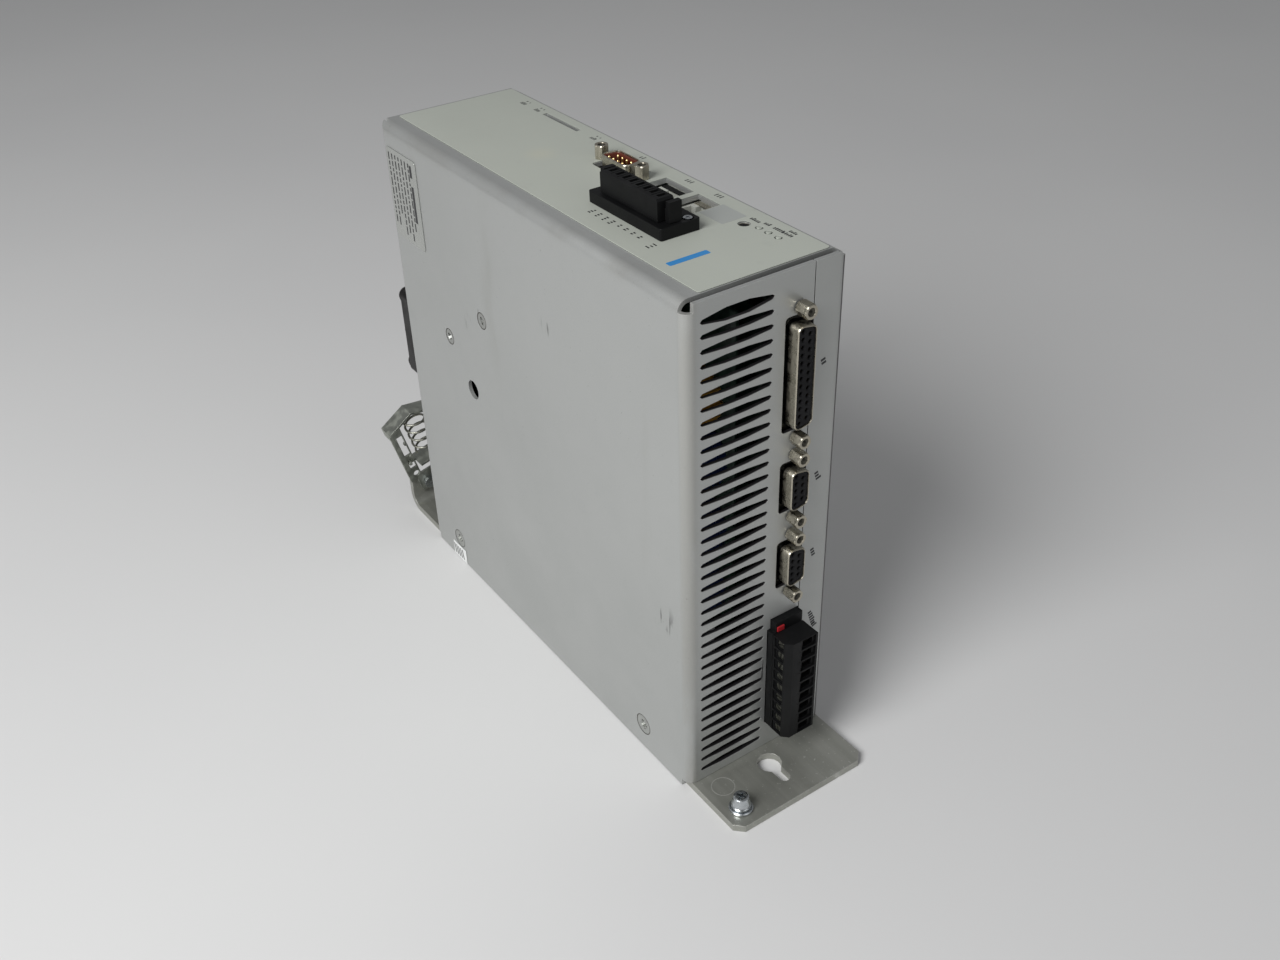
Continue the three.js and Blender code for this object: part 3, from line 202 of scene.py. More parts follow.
    def bump(self, height, depth_mm, strength=1.0):
        made = self.node("ShaderNodeBump")
        made.inputs["Strength"].default_value = strength
        made.inputs["Distance"].default_value = depth_mm * MM
        self.put(height, made.inputs["Height"])
        if self.normal is not None:
            self.put(self.normal, made.inputs["Normal"])
        self.normal = made.outputs["Normal"]
        self.put(self.normal, self.shader.inputs["Normal"])


def housing_paint():
    """Silver-grey paint: flake, clouding, specks, scuffs, smudged folds and bright edges, with near-black
    painted shade on the louvre walls and the interior.
    """
    look = Look("housing_paint", (0.43, 0.44, 0.43), 0.34, 0.6)
    cloud = look.noise(9, 4, (1, 0.6, 1), 2.0)
    flake = look.noise(5200, 1)
    look.tint(look.ramp(cloud, 0.35, 0.7), (0.37, 0.38, 0.37), 0.5)
    look.tint(look.ramp(flake, 0.45, 0.75), (0.58, 0.59, 0.58), 0.35)
    look.tint(look.ramp(look.noise(30, 5, (1, 1, 0.25), 7.0), 0.60, 0.78), (0.30, 0.30, 0.27), 0.30)
    look.tint(look.ramp(look.noise(1100, 2, (1, 1, 1), 21.0), 0.735, 0.76), (0.14, 0.14, 0.13), 0.6)
    scuffs = (((0, 142, 134), 5), ((0, 132, 141), 4), ((0, 81, 157), 5), ((0, 13, 72), 9))
    for point, radius in scuffs:
        mark = look.both(look.near(point, radius),
                         look.ramp(look.noise(260, 3, (1, 2.2, 0.35), radius), 0.56, 0.64))
        look.tint(mark, (0.10, 0.10, 0.095), 0.8)
    smudge = look.ramp(look.noise(45, 5, (1, 1, 0.35), 13.0), 0.42, 0.62)
    front_fold = look.both(look.along("X", 5.5, 2.5), look.along("Y", 5.0, 1.5), smudge)
    top_fold = look.both(look.along("X", 6.5, 2.0), look.along("Z", BOX_H - 6, BOX_H - 2), smudge)
    look.tint(front_fold, (0.27, 0.25, 0.21), 0.3)
    look.tint(top_fold, (0.30, 0.29, 0.26), 0.2)
    edge = look.both(look.edges(0.5), look.ramp(look.noise(160, 3, (1, 1, 1), 1.0), 0.40, 0.62))
    look.tint(edge, (0.66, 0.67, 0.66), 0.6)
    # Painted shade: near black on the louvre walls and on every face behind the front, side, back and top
    # skins.
    painted_interior_shade = look.both(
        look.along("Y", 0.18, 0.35), look.along("X", 4.5, 5.3), look.along("X", BOX_W - 0.7, BOX_W - 1.7),
        look.along("Y", BOX_L - 0.2, BOX_L - 0.4), look.along("Z", BOX_H - 1.7, BOX_H - 1.9))
    look.tint(painted_interior_shade, (0.035, 0.03, 0.034), 0.95)
    look.rough(look.ramp(look.noise(26, 4, (1, 1, 1), 4.0), 0.3, 0.75), 0.52)
    look.bump(look.noise(1500, 2), 0.012, 0.35)
    return look.material


def rolled_aluminium():
    """Dull rolled plate: streaks along its length, blotches, nicks, scratches and brighter edges."""
    look = Look("rolled_aluminium", (0.34, 0.345, 0.31), 0.44, 0.7)
    streak = look.noise(420, 3, (1, 0.03, 1), 1.0)
    look.tint(look.ramp(streak, 0.35, 0.7), (0.42, 0.42, 0.385), 0.5)
    look.tint(look.ramp(look.noise(55, 5, (1, 1, 1), 4.0, 0.6), 0.52, 0.75), (0.27, 0.27, 0.24), 0.6)
    look.tint(look.ramp(look.noise(900, 2, (1, 1, 1), 6.0), 0.66, 0.74), (0.66, 0.66, 0.63), 0.6)
    look.tint(look.scratches((1, 0.6, 1), 2.0), (0.68, 0.68, 0.66), 0.7)
    look.tint(look.edges(0.6), (0.66, 0.66, 0.63), 0.6)
    look.rough(look.ramp(look.noise(70, 4, (1, 1, 1), 9.0), 0.35, 0.7), 0.34)
    look.bump(streak, 0.02, 0.5)
    look.bump(look.noise(700, 3), 0.03, 0.35)
    return look.material


def plated(name, color, roughness, stain, scale=260, painted_shade_depth=()):
    """Plated metal with handling stains, tiny pits and brighter edges, and near-black painted shade where it
    sinks into a window, when a depth is given.
    """
    look = Look(name, color, roughness, 1.0)
    look.tint(look.ramp(look.noise(scale, 5, (1, 1, 1), 3.0, 0.4), 0.48, 0.72), stain, 0.4)
    if painted_shade_depth:
        # Painted shade: near black past the given depth, where the shell sinks into its window.
        look.tint(look.along(*painted_shade_depth), (0.02, 0.02, 0.018), 0.97)
    look.tint(look.edges(0.25), tuple(min(1, c * 1.35) for c in color), 0.5)
    look.rough(look.ramp(look.noise(scale * 2, 3, (1, 1, 1), 8.0), 0.4, 0.7), min(1, roughness * 1.7))
    look.bump(look.noise(scale * 5, 3), 0.01, 0.5)
    return look.material


def moulded(name, color, roughness, grain=2600, depth=0.012, dust=0.0, rub=None):
    """Moulded plastic: spark-eroded grain, slight gloss changes, and dust or rubbed edges if asked."""
    look = Look(name, color, roughness)
    look.shader.inputs["Specular IOR Level"].default_value = 0.18
    paler = tuple(min(1, c * 1.4 + 0.001) for c in color)
    look.tint(look.ramp(look.noise(140, 4, (1, 1, 1), 2.0), 0.45, 0.75), paler, 0.5)
    if dust:
        look.tint(look.ramp(look.noise(800, 4, (1, 1, 1), 5.0), 0.6, 0.72), (0.30, 0.30, 0.28), dust)
    look.tint(look.edges(0.3), rub or paler, 0.55)
    look.rough(look.ramp(look.noise(90, 3, (1, 1, 1), 6.0), 0.35, 0.7), min(1, roughness * 1.35))
    look.bump(look.noise(grain, 2), depth, 0.6)
    return look.material


def printed_film():
    """Pale greenish film with a fine screen, a soft yellow stain and grey handling marks."""
    look = Look("printed_film", (0.40, 0.42, 0.375), 0.47)
    look.tint(look.ramp(look.noise(14, 4, (1, 0.7, 1), 3.0), 0.4, 0.75), (0.36, 0.38, 0.34), 0.6)
    look.tint(look.near((30, 128, BOX_H), 9), (0.47, 0.46, 0.36), 0.35)
    look.tint(look.ramp(look.noise(130, 5, (1, 1, 1), 6.0), 0.62, 0.80), (0.33, 0.34, 0.31), 0.35)
    look.rough(look.ramp(look.noise(40, 3, (1, 1, 1), 1.0), 0.35, 0.7), 0.58)
    look.bump(look.noise(3200, 1), 0.006, 0.4)
    return look.material


def ink(name, color, roughness=0.5):
    """Screen-printed ink, worn thin in places."""
    look = Look(name, color, roughness)
    look.tint(look.ramp(look.noise(900, 4), 0.56, 0.76), tuple(c * 0.7 + 0.07 for c in color), 0.4)
    look.bump(look.noise(2200, 2), 0.004, 0.5)
    return look.material


def circuit_board(name, color):
    """Solder-masked laminate: paler copper runs under the mask."""
    look = Look(name, color, 0.42)
    runs = look.ramp(look.noise(260, 0, (1, 0.12, 1), 2.0), 0.50, 0.52)
    more = look.ramp(look.noise(260, 0, (1, 1, 0.12), 5.0), 0.52, 0.54)
    look.tint(look.math("MAXIMUM", runs, more), tuple(c * 1.9 + 0.01 for c in color), 0.6)
    look.bump(look.math("MAXIMUM", runs, more), 0.04, 0.4)
    return look.material


def shrink_sleeve(name, color):
    """Glossy sleeve or enamel with slight waves along it."""
    look = Look(name, color, 0.28)
    look.tint(look.ramp(look.noise(60, 3, (0.2, 1, 1), 1.0), 0.4, 0.7), tuple(c * 1.6 for c in color), 0.5)
    look.bump(look.noise(500, 3, (0.3, 1, 1)), 0.03, 0.4)
    return look.material


def clear_label():
    """Glossy clear-coated label over the paint, with small bubbles and a dulled rim."""
    look = Look("clear_label", (0.40, 0.41, 0.39), 0.26, 0.5)
    look.tint(look.ramp(look.noise(50, 4), 0.4, 0.7), (0.36, 0.37, 0.35), 0.5)
    look.rough(look.ramp(look.noise(300, 3), 0.45, 0.7), 0.4)
    look.bump(look.ramp(look.cells(700), 0.35, 0.1), 0.01, 0.3)
    return look.material


def floor_sheet():
    """Plain pale paper with a faint tooth."""
    look = Look("floor_sheet", (0.66, 0.66, 0.655), 0.75)
    look.tint(look.ramp(look.noise(2.2, 4), 0.35, 0.7), (0.62, 0.62, 0.62), 0.6)
    look.bump(look.noise(180, 3), 0.05, 0.25)
    return look.material


PAINT = housing_paint()
PLATE = rolled_aluminium()
NICKEL = plated("tinned_shell", (0.46, 0.43, 0.355), 0.27, (0.30, 0.27, 0.21))
# The front and top shells take painted shade below the panel's face.
FRONT_NICKEL = plated("front_shell", (0.46, 0.43, 0.355), 0.27, (0.30, 0.27, 0.21), 260, ("Y", -0.3, 0.6))
TOP_NICKEL = plated("top_shell", (0.52, 0.49, 0.41), 0.27, (0.36, 0.33, 0.26), 260,
                    ("Z", BOX_H + 0.3, BOX_H - 0.6))
# Near-black steel as painted shade, for threaded bores, screw rings, wire cages and contacts that sit in
# shade.
SHADED_STEEL = plated("steel_painted_shade", (0.10, 0.095, 0.08), 0.35, (0.03, 0.03, 0.025), 600)
ZINC = plated("zinc_screw", (0.55, 0.58, 0.60), 0.2, (0.28, 0.30, 0.32), 500)
# Darkened zinc as painted shade, for screws sitting in deep pits.
SHADED_ZINC = plated("screw_painted_shade", (0.20, 0.20, 0.17), 0.3, (0.08, 0.08, 0.07), 500)
COUNTERSUNK = plated("countersunk_screw", (0.46, 0.47, 0.45), 0.3, (0.30, 0.30, 0.29), 500)
CLAMP = plated("clamp_sheet", (0.37, 0.385, 0.345), 0.42, (0.25, 0.26, 0.23), 160)
WIRE = plated("spring_wire", (0.30, 0.30, 0.26), 0.34, (0.16, 0.15, 0.13), 300)
GOLD = plated("gold_contact", (0.86, 0.64, 0.30), 0.22, (0.60, 0.42, 0.16), 700)
SINK = plated("extruded_sink", (0.62, 0.63, 0.64), 0.4, (0.45, 0.46, 0.47), 120)
BLACK = moulded("black_plastic", (0.004, 0.0042, 0.0045), 0.44, dust=0.006, rub=(0.012, 0.012, 0.012))
SOCKET_BLACK = moulded("socket_black", (0.006, 0.006, 0.007), 0.5, 3200, 0.008)
FAN_BLACK = moulded("fan_plastic", (0.008, 0.0075, 0.0075), 0.33, 1800, 0.01, dust=0.08)
BROWN = moulded("brown_plastic", (0.105, 0.028, 0.018), 0.38)
JACK = moulded("jack_plastic", (0.46, 0.47, 0.43), 0.45, 1800)
LENS = moulded("light_pipe", (0.33, 0.35, 0.31), 0.3, 900, 0.003)
SEAL = moulded("seal_paper", (0.70, 0.71, 0.70), 0.62, 900, 0.02)
RED = moulded("red_key", (0.32, 0.015, 0.02), 0.4)
FILM = printed_film()
LABEL = clear_label()
BLACK_INK = ink("black_ink", (0.02, 0.02, 0.022))
GREY_INK = ink("grey_ink", (0.33, 0.345, 0.33))
BLUE_INK = ink("blue_ink", (0.03, 0.21, 0.50))
BOARD = circuit_board("circuit_board", (0.007, 0.028, 0.016))
SLEEVE = shrink_sleeve("blue_sleeve", (0.008, 0.02, 0.085))
WINDING = shrink_sleeve("yellow_winding", (0.42, 0.23, 0.04))


# ---- Mesh tools ----
FLAT_ANGLE = math.radians(0.8)      # faces closer than this in direction count as one flat


def smooth(obj, bevel_mm=0.0, angle=32):
    """Smooth shading: bevelled edges where asked, otherwise sharp edges by angle."""
    mesh = obj.data
    if "custom_normal" in mesh.attributes:
        mesh.attributes.remove(mesh.attributes["custom_normal"])
    mesh.polygons.foreach_set("use_smooth", [True] * len(mesh.polygons))
    if bevel_mm:
        bevel = obj.modifiers.new("edges", "BEVEL")
        bevel.width = bevel_mm * MM
        bevel.segments = 2
        bevel.limit_method = "ANGLE"
        bevel.angle_limit = math.radians(angle)
        obj.modifiers.new("normals", "WEIGHTED_NORMAL")
    else:
        mesh.set_sharp_from_angle(angle=math.radians(angle))


def dress(node, material, bevel_mm=0.2):
    """Gives a CAD node its material and finer edges. Its own vertices stay as imported."""
    obj = nodes[node]
    obj.data.materials.clear()
    obj.data.materials.append(material)
    weld = obj.modifiers.new("weld", "WELD")
    weld.merge_threshold = 1e-6
    flat = obj.modifiers.new("flats", "DECIMATE")
    flat.decimate_type = "DISSOLVE"
    flat.angle_limit = FLAT_ANGLE
    smooth(obj, bevel_mm)


def piece(name, bm, material, body="drive", replaces=(), bevel_mm=0.0, angle=32):
    """Makes an object from a mesh drawn in millimetres, and rides it on a body."""
    bmesh.ops.recalc_face_normals(bm, faces=bm.faces)
    bm.transform(PLACE)
    mesh = bpy.data.meshes.new(name)
    bm.to_mesh(mesh)
    bm.free()
    mesh.materials.append(material)
    obj = bpy.data.objects.new(name, mesh)
    scene.collection.objects.link(obj)
    smooth(obj, bevel_mm, angle)
    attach(obj, body)
    if replaces:
        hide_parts(*replaces)
    return obj


def loft(bm, rings, matrix=Matrix(), cyclic=False):
    """Skins a row of closed rings that have the same number of points, and caps an open row's ends."""
    rows = [[bm.verts.new(matrix @ Vector(point)) for point in row] for row in rings]
    pairs = list(zip(rows, rows[1:]))
    if cyclic:
        pairs.append((rows[-1], rows[0]))
    count = len(rows[0])
    for low, high in pairs:
        for i in range(count):
            j = (i + 1) % count
            bm.faces.new((low[i], low[j], high[j], high[i]))
    if not cyclic:
        bm.faces.new(rows[0][::-1])
        bm.faces.new(rows[-1])
    return bm


def ring(radius, height, count=36):
    """A circle, or with a function for radius any closed shape round the local z axis."""
    points = []
    for i in range(count):
        angle = 2 * math.pi * i / count
        r = radius(angle) if callable(radius) else radius
        points.append((r * math.cos(angle), r * math.sin(angle), height))
    return points


def hexagon(across, chamfer=None):
    """Radius of a hexagon at an angle, cut by a chamfer's circle."""
    def radius(angle):
        corner = (angle + math.pi / 6) % (math.pi / 3) - math.pi / 6
        r = across / 2 / math.cos(math.pi / 6 - abs(corner))
        return min(r, chamfer) if chamfer else r
    return radius


def turn(bm, profile, matrix=Matrix(), count=36):
    """A turned solid from (radius, height) points."""
    return loft(bm, [ring(r, h, count) for r, h in profile], matrix)


def rectangle(x0, y0, x1, y1):
    """A rectangle's corners, anticlockwise."""
    return [(x0, y0), (x1, y0), (x1, y1), (x0, y1)]


def box(bm, low, high, matrix=Matrix()):
    """A block, as a cutter or as the start of a piece."""
    base = rectangle(low[0], low[1], high[0], high[1])
    return loft(bm, [layer(base, z) for z in (low[2], high[2])], matrix)


def tube(bm, path, radius, sides=8, cyclic=False):
    """A round wire along a list of points."""
    points = [Vector(p) for p in path]
    rings = []
    across = None
    for i, point in enumerate(points):
        before = points[i - 1] if i or cyclic else point
        after = points[(i + 1) % len(points)] if i + 1 < len(points) or cyclic else point
        along = (after - before).normalized()
        across = along.orthogonal() if across is None else across - along * across.dot(along)
        across.normalize()
        side = along.cross(across)
        rings.append([point + (across * math.cos(a) + side * math.sin(a)) * radius
                      for a in (2 * math.pi * k / sides for k in range(sides))])
    return loft(bm, rings, cyclic=cyclic)


def outline(corner_points, radius, grow=0.0, steps=6):
    """A polygon with round corners, anticlockwise, moved outward by grow."""
    points = []
    count = len(corner_points)
    for i in range(count):
        before, here, after = (Vector(corner_points[(i + k) % count]) for k in (-1, 0, 1))
        first, second = (here - before).normalized(), (after - here).normalized()
        out = Vector((first.y, -first.x)), Vector((second.y, -second.x))
        middle = here - (out[0] + out[1]) * (radius / (1 + out[0].dot(out[1])))
        start = math.atan2(out[0].y, out[0].x)
        sweep = (math.atan2(out[1].y, out[1].x) - start) % (2 * math.pi)
        for k in range(steps + 1):
            angle = start + sweep * k / steps
            points.append(middle + Vector((math.cos(angle), math.sin(angle))) * (radius + grow))
    return points


def layer(points, height):
    """A flat outline lifted to a height."""
    return [(p[0], p[1], height) for p in points]


def cut(bm, cutter):
    """The first mesh with the second cut out of it. Both are used up."""
    made = []
    for name, source in (("cut_body", bm), ("cut_tool", cutter)):
        bmesh.ops.recalc_face_normals(source, faces=source.faces)
        mesh = bpy.data.meshes.new(name)
        source.to_mesh(mesh)
        source.free()
        obj = bpy.data.objects.new(name, mesh)
        scene.collection.objects.link(obj)
        made.append(obj)
    body, tool = made
    boolean = body.modifiers.new("cut", "BOOLEAN")
    boolean.operation = "DIFFERENCE"
    boolean.solver = "EXACT"
    boolean.object = tool
    result = bpy.data.meshes.new_from_object(body.evaluated_get(bpy.context.evaluated_depsgraph_get()))
    out = bmesh.new()
    out.from_mesh(result)
    for obj in made:
        bpy.data.objects.remove(obj)
    return out


def copy_of(node):
    """A CAD node's mesh, in drawing millimetres, with its vertices merged."""
    bm = bmesh.new()
    bm.from_mesh(nodes[node].data)
    bm.transform(PLACE.inverted())
    bmesh.ops.remove_doubles(bm, verts=bm.verts, dist=1e-3)
    bmesh.ops.dissolve_limit(bm, angle_limit=FLAT_ANGLE, verts=bm.verts, edges=bm.edges)
    return bm


def cross(reach, half, height):
    """The outline of a cross recess."""
    a, b = reach, half
    plan = [(a, -b), (a, b), (b, b), (b, a), (-b, a), (-b, b), (-a, b), (-a, -b), (-b, -b), (-b, -a),
            (b, -a), (b, -b)]
    return layer(plan, height)


def recess(bm, matrix, reach, half, top, depth):
    """A cross recess for a screwdriver, tapering down to its floor."""
    return loft(bm, [cross(reach * 0.45, half * 0.8, top - depth), cross(reach, half, top + 0.5)], matrix)


# ---- Camera, light and floor ----
CAMERA_PLACE = (-0.23093, -0.37245, 0.37319)      # these three are fitted to the photograph
CAMERA_ANGLES = (33.75, 34.54, -1.945)            # azimuth, elevation below level, roll
CAMERA_LENS = 37.13
FLOOR_HALF = 5.0


def set_camera():
    """Camera at the photograph's viewing angle."""
    camera = bpy.data.objects.new("camera", bpy.data.cameras.new("camera"))
    camera.data.sensor_width = 36
    camera.data.lens = CAMERA_LENS
    azimuth, elevation, roll = (math.radians(a) for a in CAMERA_ANGLES)
    forward = Vector((math.sin(azimuth) * math.cos(elevation), math.cos(azimuth) * math.cos(elevation),
                      -math.sin(elevation)))
    turned = forward.to_track_quat("-Z", "Y").to_matrix().to_4x4() @ Matrix.Rotation(roll, 4, "Z")
    camera.matrix_world = move(CAMERA_PLACE) @ turned
    camera.data.clip_start = 0.01
    scene.collection.objects.link(camera)
    scene.camera = camera
    scene.view_settings.view_transform = "Standard"


def lamp(name, place, target, size, power):
    """A round soft light aimed at a point."""
    light = bpy.data.lights.new(name, "AREA")
    light.shape = "DISK"
    light.size = size
    light.energy = power
    obj = bpy.data.objects.new(name, light)
    obj.location = place
    obj.rotation_mode = "QUATERNION"
    obj.rotation_quaternion = (Vector(target) - Vector(place)).to_track_quat("-Z", "Y")
    scene.collection.objects.link(obj)


def set_stage():
    """Even pale room, a soft key from the left, a weak fill from the front, and the floor."""
    world = bpy.data.worlds.new("room")
    world.use_nodes = True
    world.node_tree.nodes["Background"].inputs["Color"].default_value = (0.97, 0.98, 1.0, 1)
    world.node_tree.nodes["Background"].inputs["Strength"].default_value = 0.25
    scene.world = world
    lamp("soft_key", (-0.95, -0.30, 0.92), (-0.2, -0.02, 0.0), 0.75, 17)
    lamp("soft_fill", (0.3, -1.3, 0.8), (0, 0, 0.1), 1.0, 1.5)

    floor = bpy.data.meshes.new("floor")
    sheet = layer(rectangle(-FLOOR_HALF, -FLOOR_HALF, FLOOR_HALF, FLOOR_HALF), 0)
    floor.from_pydata(sheet, [], [(0, 1, 2, 3)])
    floor.materials.append(floor_sheet())
    obj = bpy.data.objects.new("floor", floor)
    scene.collection.objects.link(obj)


set_camera()
set_stage()


# ---- Housing, plate, film, label ----
dress("mounting_plate", PLATE, 0.45)
dress("outer_cover", PAINT, 0.22)
dress("chassis", PAINT, 0.25)
dress("top_film", FILM, 0.06)
dress("side_label", LABEL, 0.05)
dress("seal_sticker", SEAL, 0.05)


PRINT_LIFT = 0.005
PRINT_T = 0.03
LABEL_PRINT_T = 0.02
X40_PITCH, X40_POLES = 3.81, 8
X9_PITCH, X9_POLES = 5.08, 9


def pole_places(node, axis, poles, pitch):
    """The poles' places along an axis, spread about the middle of a connector's node."""
    low, high = corners(node)
    middle = (getattr(low, axis) + getattr(high, axis)) / 2
    return [middle + (i - (poles - 1) / 2) * pitch for i in range(poles)]


def ticks(bm, start, along, across, count, pitch=0.95, tall=1.7, wide=0.6, lift=(0, 0, PRINT_T)):
    """A row of small plain strokes of varied height, as generic print."""
    along, across, lift = Vector(along), Vector(across), Vector(lift)
    for i in range(count):
        height = tall * rng.choice((0.7, 0.85, 1.0))
        low = Vector(start) + along * (i * pitch)
        ring_low = [low, low + along * wide, low + along * wide + across * height, low + across * height]
        loft(bm, [ring_low, [p + lift for p in ring_low]])


def top_print():
    """Plain strokes beside the connectors, the button, the lights and the card slot."""
    z = FILM_TOP + PRINT_LIFT
    bm = bmesh.new()
    forward, backward, left, right = (0, -1, 0), (0, 1, 0), (-1, 0, 0), (1, 0, 0)
    for i, y in enumerate(pole_places("x40_base", "y", X40_POLES, X40_PITCH)):
        ticks(bm, (17.6, y - 0.7, z), left, backward, 2 + i // 4, 1.1, 1.3)
    ticks(bm, (17.4, 37.6, z), left, backward, 3, 1.4, 2.0, 0.5)
    for node in ("x18_jack", "x19_jack"):
        ticks(bm, (55.4, centre(node).y + 1.8, z), forward, right, 3, 1.4, 2.0, 0.5)
    ticks(bm, (55.6, 102.5, z), forward, right, 2, 1.4, 2.0, 0.5)
    button_and_lights = ((52.6, 36.0, 5, 1.7), (53.6, 30.2, 3, 1.7), (53.6, 25.6, 5, 1.7),
                         (53.6, 21.2, 5, 1.5), (55.9, 20.6, 4, 1.4))
    for x, y, count, tall in button_and_lights:
        ticks(bm, (x, y, z), forward, right, count, tall=tall)
    for y in (181, 170.5, 130.5):
        ticks(bm, (52.6, y, z), forward, right, 4, 0.9, 1.9, 0.45)
        ticks(bm, (55.4, y - 0.4, z), forward, right, 2, 2.2, 0.9, 0.5)
    piece("top_print", bm, BLACK_INK)


def film_patch(name, plan, radius, material):
    """A flat printed patch with round corners on the film."""
    z = FILM_TOP + PRINT_LIFT
    shape = outline(rectangle(*plan), radius)
    piece(name, loft(bmesh.new(), [layer(shape, z), layer(shape, z + PRINT_T)]), material)


def front_print():
    """Leaning strokes at the right of each front connector."""
    bm = bmesh.new()
    down, across = (0.28, 0, -0.96), (0.96, 0, 0.28)
    marks = ((53.6, 161.6, 2), (53.6, 118.0, 3), (53.6, 85.4, 3), (54.2, 56.2, 6), (56.2, 50.2, 2))
    for x, z, count in marks:
        ticks(bm, (x, -PRINT_LIFT, z), down, across, count, 1.3, 2.3, 0.85, (0, -PRINT_T, 0))
    piece("front_print", bm, BLACK_INK)


def label_print():
    """Lines of plain dashes down the side label, and a heavier heading along its front."""
    low, high = corners("side_label")
    bm = bmesh.new()
    x = low.x - PRINT_LIFT
    lines, line_pitch, gap = 7, 2.75, 0.7
    for i in range(lines):
        y = high.y - 1.8 - i * line_pitch
        z = high.z - 2.0
        stop = low.z + 3 + rng.uniform(0, 9)
        while z > stop:
            dash = rng.uniform(0.9, 3.6)
            box(bm, (x - LABEL_PRINT_T, y - 0.62, z - dash), (x, y + 0.28, z))
            z -= dash + gap
    piece("label_print", bm, BLACK_INK)
    head = bmesh.new()
    for z, length in ((high.z - 11, 15), (high.z - 2.4, 5)):
        box(head, (x - LABEL_PRINT_T, low.y + 3.4, z - length), (x, low.y + 5.2, z))
    piece("label_heading", head, BLACK_INK)


def seal_print():
    """Five slanting strokes across the seal."""
    low, high = corners("seal_sticker")
    bm = bmesh.new()
    x = low.x - PRINT_LIFT
    for i in range(5):
        y = low.y + 2 + i * 1.8
        stroke = [(y, low.z + 1.2), (y + 0.8, low.z + 1.2), (y + 1.9, high.z - 1.2), (y + 1.1, high.z - 1.2)]
        loft(bm, [[(x - lift, across, up) for across, up in stroke] for lift in (0, LABEL_PRINT_T)])
    piece("seal_print", bm, BLACK_INK)


def stamped_ring():
    """A faint ring round the mark that a screw head has left on the plate."""
    profile = [(4.15, 0.0), (4.2, 0.025), (4.4, 0.03), (4.5, 0.0)]
    rings = [ring(r, h, 64) for r, h in profile]
    bm = loft(bmesh.new(), rings, move((10.2, -7.4, 0.0)), cyclic=True)
    piece("stamped_ring", bm, PLATE)


top_print()
film_patch("grey_field", (43, 38, 53.2, 50.3), 0.3, GREY_INK)
film_patch("blue_bar", (11.9, 23.2, 27.4, 25.8), 0.5, BLUE_INK)
front_print()
label_print()
seal_print()
stamped_ring()


# ---- Screws ----
def side_screw(node):
    """Countersunk cross-head screw in the left side, with a thin near-black ring round its head as painted
    shadow.
    """
    low, high = corners(node)
    middle = centre(node)
    radius = (high.y - low.y) / 2
    top = -low.x
    matrix = move((0, middle.y, middle.z)) @ LEFT
    shape = [(1.5, top - 6.9), (1.5, top - 2.2), (radius * 0.55, top - 2.0), (radius - 0.1, top - 0.18),
             (radius, top - 0.08), (radius - 0.12, top)]
    body = turn(bmesh.new(), shape, matrix, 48)
    tool = recess(bmesh.new(), matrix @ Matrix.Rotation(rng.uniform(0, 1.5), 4, "Z"),
                  radius * 0.58, radius * 0.2, top, 1.6)
    piece(node + "_head", cut(body, tool), COUNTERSUNK, replaces=[node])
    # Painted shadow: a thin near-black ring round the head, in the countersink's gap.
    rim, face, wide = radius - 0.1, max(top, 0) + 0.01, 0.32
    gap = [ring(r, h, 48) for r, h in rectangle(rim, face - 0.02, rim + wide, face)]
    piece(node + "_painted_shadow_ring", loft(bmesh.new(), gap, matrix, cyclic=True), SHADED_STEEL)


for screw in ("cover_screw_front", "cover_screw_rear", "board_screw_upper", "board_screw_lower"):
    side_screw(screw)


def earth_set():
    """Cheese-head screw with its plain and spring washers."""
    middle = centre("earth_screw")
    matrix = move((middle.x, middle.y, 0))
    head = [(1.9, -2.6), (1.9, 2.7), (3.45, 2.75), (3.6, 2.95), (3.45, 3.6), (3.05, 4.6), (2.92, 5.6),
            (2.8, 6.15), (2.45, 6.42), (1.9, 6.5)]
    body = turn(bmesh.new(), head, matrix, 48)
    tool = recess(bmesh.new(), matrix @ Matrix.Rotation(0.5, 4, "Z"), 2.0, 0.42, 6.5, 2.2)
    piece("earth_screw_head", cut(body, tool), ZINC, replaces=["earth_screw"])
    inner = 2.25
    for node, outer in (("earth_washer", 4.5), ("earth_lock_washer", 3.7)):
        low, high = corners(node)
        profile = [(inner, low.z), (outer - 0.2, low.z), (outer, low.z + 0.2), (outer, high.z - 0.3),
                   (outer - 0.3, high.z), (inner, high.z)]
        bm = loft(bmesh.new(), [ring(r, h, 48) for r, h in profile], matrix, cyclic=True)
        piece(node + "_ring", bm, ZINC, replaces=[node])


def x40_screw(node):
    """Small cross-head screw at one end of the control terminal."""
    low, high = corners(node)
    place = move((centre(node).x, centre(node).y, 0))
    shape = [(1.3, low.z), (1.55, high.z - 0.6), (1.55, high.z - 0.15), (1.35, high.z)]
    body = turn(bmesh.new(), shape, place)
    tool = recess(bmesh.new(), place @ Matrix.Rotation(0.3, 4, "Z"), 1.1, 0.25, high.z, 1.0)
    piece(node + "_head", cut(body, tool), ZINC, replaces=[node])


earth_set()
x40_screw("x40_screw_front")
x40_screw("x40_screw_rear")


# ---- D-sub connectors ----
D_HIGH = 7.9
D_SLANT = D_HIGH * math.tan(math.radians(10))
D_CORNER_R = 2.3
CONTACT_PITCH = 2.77
ROW_APART = 2.84
FLANGE_FACE = -SHEET_T - 0.3        # heights are taken from the panel's outer face
SHELL_OUT = 6.0
BLOCK_LEFT, BLOCK_BACK, BLOCK_FRONT = -4.3, -12.1, -3.1        # the insert's block behind the flange
NINE_WAY = (16.6, 30.81, 24.99, 9)                             # opening, flange, post spacing, contacts
TWENTY_FIVE_WAY = (38.5, 53.04, 47.04, 25)


